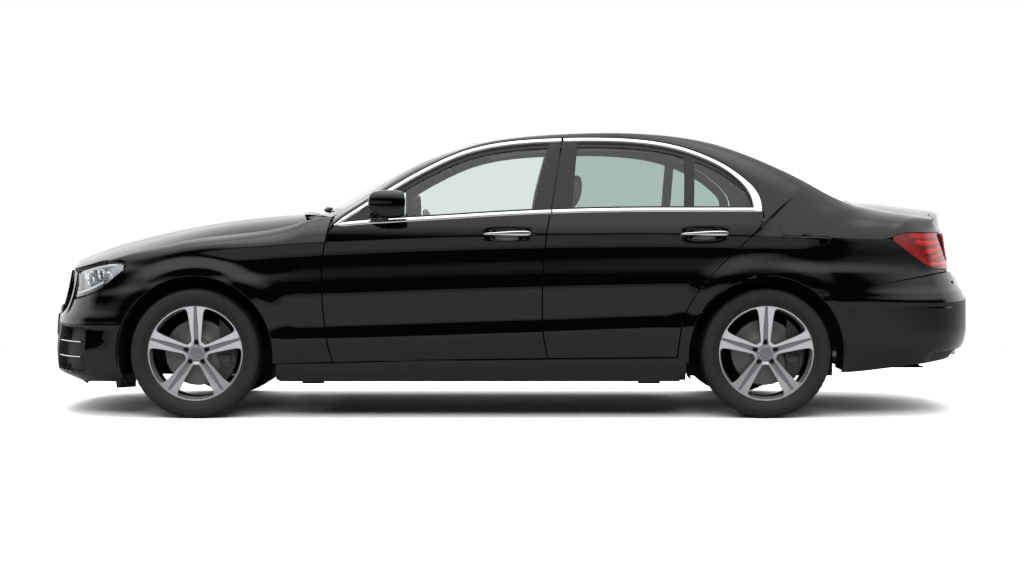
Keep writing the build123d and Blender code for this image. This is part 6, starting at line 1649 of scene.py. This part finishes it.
# ---------------------------------------------------------------- door linings
inner_u = np.concatenate([[0, 0.002, 0.012, 0.03], np.linspace(0.05, 0.95, 80), [0.97, 0.988, 0.998, 1]])
inner_v = np.concatenate([[0, 0.003, 0.015, 0.03], np.linspace(0.05, 0.95, 70), [0.97, 0.985, 0.997, 1]])
for place, front, rear, rest, hatch in (
        ("front", steady(0.876), lambda h: split_cut(h) + 0.032, (0.02, 0.55), 0.66),
        ("rear", steady(-0.258), lambda h: rear_cut(h) + 0.034, (-0.88, -0.40), -0.48)):
    x, z = between(front, rear, lambda a: sill_line(a) + 0.022, lambda a: belt(a) - 0.002, inner_u, inner_v)
    rim = bell(2 * inner_u - 1, 0, 1.0)[None, :] ** 0.01 * bell(2 * inner_v - 1, 0, 1.0)[:, None] ** 0.01
    outer = door_skin(x, z)[..., 1] - 0.013
    over = ramp(z, belt(x) - 0.09, belt(x))
    arm = (bell(z, 0.668, 0.055) ** 0.5 * ramp(x, rest[0] - 0.05, rest[0] + 0.04)
           * (1 - ramp(x, rest[1] - 0.04, rest[1] + 0.06)))
    pocket = (bell(z, 0.43, 0.085) ** 0.4 * ramp(x, rest[0] + 0.02, rest[0] + 0.08)
              * (1 - ramp(x, rest[1] - 0.03, rest[1] + 0.02)))
    speaker = np.hypot(x - hatch, z - 0.47)
    cone = 0.004 * np.cos(speaker * 2 * np.pi / 0.012) * (1 - ramp(speaker, 0.066, 0.075))
    face = (0.778 + 0.052 * over ** 2 - 0.036 * arm - 0.022 * pocket - 0.006 * bell(z, 0.80, 0.022) ** 0.5
            - 0.3 * cone)
    y = outer + (face - outer) * ramp(rim, 0.05, 0.7)
    zone = np.where((z > 0.775) & (z < 0.825), 2, np.where(z > 0.825, 0, np.where(z > 0.60, 1, 3)))[:-1, :-1]
    panel = field(x, y, z, (0, -1, 0), paint=zone)
    pair(f"{place}_door_lining_{{}}", walled(panel, 0.003), [skin_vinyl, leather, veneer, plastic],
         f"{place}_door_{{}}")
    pull = hose([(rest[1] - 0.02, 0.758, 0.742), (rest[1] - 0.01, 0.742, 0.752), (rest[1] + 0.06, 0.742, 0.772),
                 (rest[1] + 0.07, 0.758, 0.776)], 0.006, 0.004, 40, 14)
    grip = hose([(rest[0] + 0.05, 0.745, 0.705), (rest[0] + 0.14, 0.728, 0.728), (rest[1] - 0.14, 0.728, 0.735),
                 (rest[1] - 0.05, 0.745, 0.715)], 0.011, 0.009, 60, 18)
    pair(f"{place}_door_pull_{{}}", joined(pull, grip), chrome, f"{place}_door_{{}}")

# ---------------------------------------------------------------- dashboard, console and wheel
section = fair([(0.972, 0.705), (0.978, 0.84), (0.968, 0.972), (0.905, 0.990), (0.83, 1.000), (0.745, 0.990),
                (0.692, 0.966), (0.668, 0.925), (0.655, 0.890), (0.680, 0.835), (0.730, 0.775), (0.85, 0.735)],
               closed=True)(np.linspace(0, 1, 120, endpoint=False))
y = np.linspace(-0.728, 0.728, 161)[:, None]
hood = bell(y, -0.37, 0.24) ** 0.6
face_part = ramp(-section[:, 0], -0.78, -0.68)[None, :]
top_part = (ramp(section[:, 1], 0.93, 0.98) * ramp(-section[:, 0], -0.90, -0.70))[None, :]
wrap = 0.030 * np.abs(y / 0.728) ** 4
x = section[None, :, 0] + face_part * (wrap - 0.020 * hood)
z = section[None, :, 1] + top_part * (0.012 * hood - 0.010 * np.abs(y / 0.728) ** 3)
x = x + 0.012 * bell(z, 0.885, 0.03) * face_part
dash = capped(np.stack([x, y + 0 * x, z], -1))
dash = turned(dash, lambda c: c - np.array([0.82, 0.0, 0.87]) * np.array([1, 0, 1]) - c * np.array([0, 1, 0]))
p, f, s = dash
mid = p[f].mean(1)
piece("dashboard_body", (p, f, ((mid[:, 2] > 0.868) & (mid[:, 2] < 0.902) & (mid[:, 0] < 0.72)).astype(int)),
      [skin_vinyl, veneer], "body", ["dashboard"])
column = hose([(0.455, -0.37, 0.891), (0.69, -0.37, 0.797)], 0.036, 0.036, 20, 24)
console = hose([(-0.235, 0, 0.470), (0.10, 0, 0.470), (0.48, 0, 0.478), (0.60, 0, 0.560), (0.685, 0, 0.70),
                (0.76, 0, 0.78)], lambda t: 0.104 + 0 * t, lambda t: 0.066 - 0.006 * t, 90, 40, power=0.35)
piece("console_body", joined(console, column), skin_vinyl)
lid_pad = hose([(-0.215, 0, 0.548), (-0.10, 0, 0.556), (0.04, 0, 0.551)], 0.092, 0.016, 40, 30, power=0.5)
piece("console_armrest", lid_pad, leather)
tray = hose([(0.075, 0, 0.5395), (0.30, 0, 0.5415), (0.50, 0, 0.556)], 0.078, 0.0045, 50, 24, power=0.4)
piece("console_veneer", tray, veneer)
knob = swell((0.20, 0.0, 0.566), (0.036, 0.024, 0.018), (0.7, 0.7), cols=40, rows=28)
piece("console_controller", knob, bright)
displays = [swell((x_at, y_at, 0.958), (0.007, half_y, 0.050), (0.35, 0.35))
            for x_at, y_at, half_y in ((0.633, -0.37, 0.150), (0.622, 0.0, 0.155))]
piece("display_screens", joined(*displays), gloss)
vents = [spun([(0.026, 0.0), (0.033, 0.004), (0.037, 0.010), (0.034, 0.014), (0.028, 0.008), (0.020, 0.001),
               (0.0, 0.004)],
              (0.668, y_at, 0.862), (-1, 0, 0.2)) for y_at in (-0.13, -0.045, 0.045, 0.13, -0.63, 0.63)]
piece("air_vents", joined(*vents), bright)

hub = np.array([0.420, -0.370, 0.905])
way = np.array([-np.cos(STEER_TILT), 0, np.sin(STEER_TILT)])
up = np.array([np.sin(STEER_TILT), 0, np.cos(STEER_TILT)])
left = np.array([0.0, 1.0, 0.0])
turn = circle(160)[:, None]
loop = circle(24)[None, :]
flat = 1 - 0.06 * bell(turn, 1.5 * np.pi, 0.6)
radius = STEER_R * flat + 0.0140 * np.cos(loop)
ring = (hub + (radius * np.cos(turn))[..., None] * left + (radius * np.sin(turn))[..., None] * up
        + (0.0165 * np.sin(loop) + 0 * turn)[..., None] * way)
rim_form = turned(sheet_of(ring, wrap_u=True, wrap_v=True), lambda c: c - hub - unit(c - hub) * STEER_R)
piece("steering_rim", rim_form, leather, "steering_wheel", ["steering_wheel"])
arms = [hose([hub + left * a * far + up * b * far - way * sunk
              for far, sunk in ((0.05, 0.012), (0.11, 0.006), (0.166, 0.0))], 0.017, 0.007, 30, 16, twist=way)
        for a, b in ((1, 0.05), (-1, 0.05), (0.0, -0.97))]
piece("steering_spokes", joined(*arms), bright, "steering_wheel")
boss = spun([(0.0, -0.026), (0.066, -0.026), (0.072, -0.010), (0.068, 0.006), (0.050, 0.014), (0.025, 0.017),
             (0.0, 0.018)],
            hub, way, 64)
piece("steering_boss", boss, skin_vinyl, "steering_wheel")

# ---------------------------------------------------------------- headlining, shelf and undersides
u = np.linspace(0, 1, 60)[:, None]
v = np.linspace(-1, 1, 49)[None, :]
x = 0.120 - 1.20 * u + 0 * v
z = roof_mid(x) - 0.034 - 0.050 * np.abs(v) ** 3
piece("headlining", walled(field(x, 0.575 * v, z, (0, 0, -1)), 0.006), knit)
x = -1.225 - 0.50 * u + 0 * v
z = 0.992 - 0.068 * (x + 1.222) + 0.010 + 0.006 * np.abs(v) ** 6
piece("parcel_shelf", walled(field(x, 0.59 * v, z, (0, 0, 1)), 0.006), felt)
cabin_mirror = joined(swell((0.345, 0.0, 1.318), (0.014, 0.115, 0.030), (0.5, 0.5), cols=60, rows=32),
                      hose([(0.350, 0, 1.33), (0.375, 0, 1.372)], 0.010, 0.010, 10, 14))
piece("cabin_mirror", cabin_mirror, plastic)
u = np.linspace(0.06, 0.92, 60)[:, None]
v = np.linspace(-0.86, 0.86, 61)[None, :]
side_x = BONNET_REAR + (BONNET_NOSE - BONNET_REAR) * u
x = side_x + 0.08 * (1 - v ** 2)
y = v * (wing_crest(side_x)[..., 0] - 0.02)
quilt = 0.003 * np.abs(np.sin(x * np.pi / 0.09)) ** 0.5 * np.abs(np.sin(y * np.pi / 0.09)) ** 0.5
crest_drop = wing_crest(side_x)[..., 1] - bonnet_mid(side_x)
z = bonnet_mid(x) + crest_drop * (0.5 * v ** 2 + 0.4 * np.abs(v) ** 6) - 0.045 - quilt
piece("bonnet_mat", walled(field(x, y, z, (0, 0, -1)), 0.010), felt, "bonnet")
inner = (spine[:, 0] < -1.93) & (spine[:, 1] > 0.80)
rows_in = spine[inner][::3]
v = np.linspace(-0.80, 0.80, 41)[None, :]
nudge = np.where(rows_in[:, 1:] > 1.05, 0.0, 1.0)
x = rows_in[:, :1] + 0.030 + 0.020 * nudge + 0.085 * np.abs(v) ** 2.4 * ramp(-rows_in[:, :1], 2.0, 2.29)
z = rows_in[:, 1:] - 0.044 * (1 - nudge) - 0.045 * np.abs(v) ** 2.4 * (1 - nudge)
piece("boot_lid_lining", walled(field(x, v * LID_HALF, z, (0.6, 0, -0.6)), 0.006), felt,
      "boot_lid")

# ---------------------------------------------------------------- fuel flap, rear plate, exhaust
def on_grid(grid, x, z):
    """Point of a grid (rows v, columns u) at x and z, by moving u and v until the two agree."""
    rows, cols = grid.shape[:2]
    u, v = np.full(np.shape(x), 0.6 * cols), np.full(np.shape(x), 0.3 * rows)

    def at(a, b):
        i, j = np.clip(b.astype(int), 0, rows - 2), np.clip(a.astype(int), 0, cols - 2)
        p, q = (b - i)[..., None], (a - j)[..., None]
        return (grid[i, j] * (1 - p) * (1 - q) + grid[i, j + 1] * (1 - p) * q
                + grid[i + 1, j] * p * (1 - q) + grid[i + 1, j + 1] * p * q)

    for _ in range(40):
        here = at(u, v)
        du, dv = at(u + 0.5, v) - at(u - 0.5, v), at(u, v + 0.5) - at(u, v - 0.5)
        det = du[..., 0] * dv[..., 2] - du[..., 2] * dv[..., 0]
        det = np.where(np.abs(det) < 1e-9, 1e-9, det)
        ex, ez = x - here[..., 0], z - here[..., 2]
        u = np.clip(u + 0.7 * np.clip((ex * dv[..., 2] - ez * dv[..., 0]) / det, -6, 6), 0.5, cols - 1.5)
        v = np.clip(v + 0.7 * np.clip((ez * du[..., 0] - ex * du[..., 2]) / det, -3, 3), 0.5, rows - 1.5)
    return at(u, v)


def on_quarter(x, z):
    """Point of the rear side of the body at x and z, above or below the shoulder crease."""
    above = on_grid(house_grid, x, np.maximum(z, shoulder(x)))
    below = side_at(x, np.minimum(z, shoulder(x)))
    return np.stack([x, np.where(z > shoulder(x), above[..., 1], below[..., 1]), z], -1)


u = circle(120)[None, :]
cu, su = squared(u, 0.45)
for name, radii, lift, look, nodes in (
        ("fuel_flap_gap_{}", np.array([0.955, 0.975, 1.0, 1.004])[:, None], 0.0006, seal, []),
        ("fuel_flap_skin_{}", np.concatenate([[0.0], np.linspace(0.08, 0.97, 26), [0.978]])[:, None], 0.0010,
         paint, ["fuel_flap"])):
    patch = on_quarter(-1.518 + 0.131 * radii * cu, 0.958 + 0.069 * radii * su)
    patch[..., 1] += lift
    form = walled(turned(joined(sheet_of(patch, wrap_u=True), weld=1e-7), (0, 1, 0)), 0.003)
    piece(name.format("left"), form, look, "body", nodes)

rear_plate, rear_holder = plate(-2.3505, 0.805, -0.164, -1)
piece("rear_plate", rear_plate, plate_white, "boot_lid")
piece("rear_plate_holder", rear_holder, plastic, "boot_lid")

pipes = []
for side in (-1, 1):
    pipes += [hose([(1.12, 0.112 * side, 0.225), (0.2, 0.112 * side, 0.215), (-0.8, 0.112 * side, 0.215),
                    (-1.08, 0.14 * side, 0.235), (-1.36, 0.26 * side, 0.300), (-1.62, 0.36 * side, 0.320)],
                   0.026, 0.026, 120, 20),
              hose([(-1.64, 0.37 * side, 0.322), (-1.80, 0.37 * side, 0.322), (-1.98, 0.37 * side, 0.322)],
                   0.125, 0.062, 40, 36, power=0.7),
              hose([(-1.96, 0.42 * side, 0.330), (-2.12, 0.46 * side, 0.330), (-2.330, PIPE_Y * side, 0.325)],
                   0.030, 0.026, 30, 20)]
piece("exhaust_system", joined(*pipes), stainless, "body", ["exhaust"])
finishers = []
for side in (-1, 1):
    tube = np.stack([np.stack([np.full(120, x_at), side * (PIPE_Y + (0.090 + wide) * cu[0]),
                               0.335 + (0.030 + wide) * su[0]], -1)
                     for x_at, wide in ((-2.300, 0.0), (-2.352, 0.0), (-2.357, -0.002), (-2.352, -0.005),
                                        (-2.300, -0.005))])
    finishers.append(turned(sheet_of(tube, wrap_u=True),
                            lambda c, s=side: c * np.array([0, 1, 1]) - np.array([0, PIPE_Y * s, 0.335])))
piece("exhaust_finishers", joined(*[walled(f, 0.001) for f in finishers]), chrome)

# ---------------------------------------------------------------- studio
# White floor: seen directly or through glass it is white paper that shades off to plain white further out; in
# reflections and in the light that it throws back it is dimmer.
floor_look, tree, shader = material("white_studio_floor", Roughness=0.9, Specular_IOR_Level=0.0)
seen = either_ray(tree, "Is Camera Ray", "Is Transmission Ray")
mix = add_node(tree, "ShaderNodeMix", {0: seen, 6: tone("#8A8A8C"), 7: tone("#FFFFFF")}, data_type="RGBA")
tree.links.new(mix.outputs[2], shader.inputs["Base Color"])
place = add_node(tree, "ShaderNodeTexCoord")
reach = add_node(tree, "ShaderNodeVectorMath", {0: place.outputs["Object"]}, operation="LENGTH")
far = add_node(tree, "ShaderNodeMapRange", {0: reach.outputs["Value"], 1: 4.0, 2: 6.0})
paper = add_node(tree, "ShaderNodeMath", {0: far.outputs[0], 1: seen}, operation="MULTIPLY")
white = add_node(tree, "ShaderNodeEmission", {"Color": tone("#FFFFFF"), "Strength": 1.0})
both = add_node(tree, "ShaderNodeMixShader", {0: paper.outputs[0], 1: shader.outputs[0], 2: white.outputs[0]})
tree.links.new(both.outputs[0], tree.nodes["Material Output"].inputs["Surface"])
size = 60.0
plane = bpy.data.meshes.new("floor")
plane.from_pydata([(-size, -size, 0), (size, -size, 0), (size, size, 0), (-size, size, 0)], [], [(0, 1, 2, 3)])
plane.materials.append(floor_look)
ground = bpy.data.objects.new("studio_floor", plane)
bpy.context.scene.collection.objects.link(ground)

# Surroundings: white behind the car and overhead; towards the viewer a dark room below a bright ceiling.
world = bpy.data.worlds.new("studio")
bpy.context.scene.world = world
world.use_nodes = True
tree = world.node_tree
tree.nodes.clear()
seen = either_ray(tree, "Is Camera Ray", "Is Transmission Ray")
where = add_node(tree, "ShaderNodeTexCoord")
split = add_node(tree, "ShaderNodeSeparateXYZ", {0: where.outputs["Generated"]})


def by_height(stops):
    """Colour ramp up the sky; stops are (sine of the elevation, hex colour)."""
    made = add_node(tree, "ShaderNodeValToRGB", {0: split.outputs["Z"]})
    bar = made.color_ramp
    for spot, (at, code) in zip(bar.elements, (stops[0], stops[-1])):
        spot.position, spot.color = at, tone(code)
    for at, code in stops[1:-1]:
        bar.elements.new(at).color = tone(code)
    return made


near_side = by_height([(0.0, "#080809"), (0.28, "#0C0C0D"), (0.42, "#7C7C7D"), (0.60, "#B4B4B5"),
                       (0.86, "#BEBEBF"), (0.95, "#F6F6F7")])
far_side = by_height([(0.0, "#B2B2B2"), (0.20, "#B2B2B2"), (0.5, "#B0B0B0"), (0.86, "#B4B4B4"),
                      (0.95, "#F6F6F7")])
behind = add_node(tree, "ShaderNodeMapRange", {0: split.outputs["Y"], 1: 0.10, 2: -0.15})
sky = add_node(tree, "ShaderNodeMix", {0: behind.outputs[0], 6: near_side.outputs[0], 7: far_side.outputs[0]},
               data_type="RGBA")
mix = add_node(tree, "ShaderNodeMix", {0: seen, 6: sky.outputs[2], 7: tone("#FFFFFF")}, data_type="RGBA")
power = add_node(tree, "ShaderNodeMix", {0: seen, 2: 3.0, 3: 1.0})
back = add_node(tree, "ShaderNodeBackground", {"Color": mix.outputs[2], "Strength": power.outputs[0]})
add_node(tree, "ShaderNodeOutputWorld", {"Surface": back.outputs[0]})


def lamp(name, place, aim, size_x, size_y, power):
    """Soft box: a rectangular area light aimed at a point."""
    data = bpy.data.lights.new(name, "AREA")
    data.shape, data.size, data.size_y, data.energy = "RECTANGLE", size_x, size_y, power
    made = bpy.data.objects.new(name, data)
    bpy.context.scene.collection.objects.link(made)
    made.location = place
    made.rotation_euler = (Vector(aim) - Vector(place)).to_track_quat("-Z", "Y").to_euler()
    made.visible_glossy = False


lamp("overhead_softbox", (0.0, 0.0, 5.2), (0, 0, 0), 9.0, 5.0, 380.0)
lamp("side_softbox", (1.0, 7.5, 5.0), (0, 0, 0.6), 8.0, 2.5, 400.0)
lamp("far_side_softbox", (-1.0, -7.5, 5.0), (0, 0, 0.6), 8.0, 2.5, 400.0)

view = bpy.data.cameras.new("camera")
view.lens, view.sensor_width = 76.1, 36.0
view.clip_end = 200.0
eye = bpy.data.objects.new("camera", view)
bpy.context.scene.collection.objects.link(eye)
eye.location = (-0.010, 12.0, 1.05)
eye.rotation_euler = (np.radians(90.0 - 1.9), 0.0, np.radians(180.0))
bpy.context.scene.camera = eye
bpy.context.scene.view_settings.view_transform = "Standard"
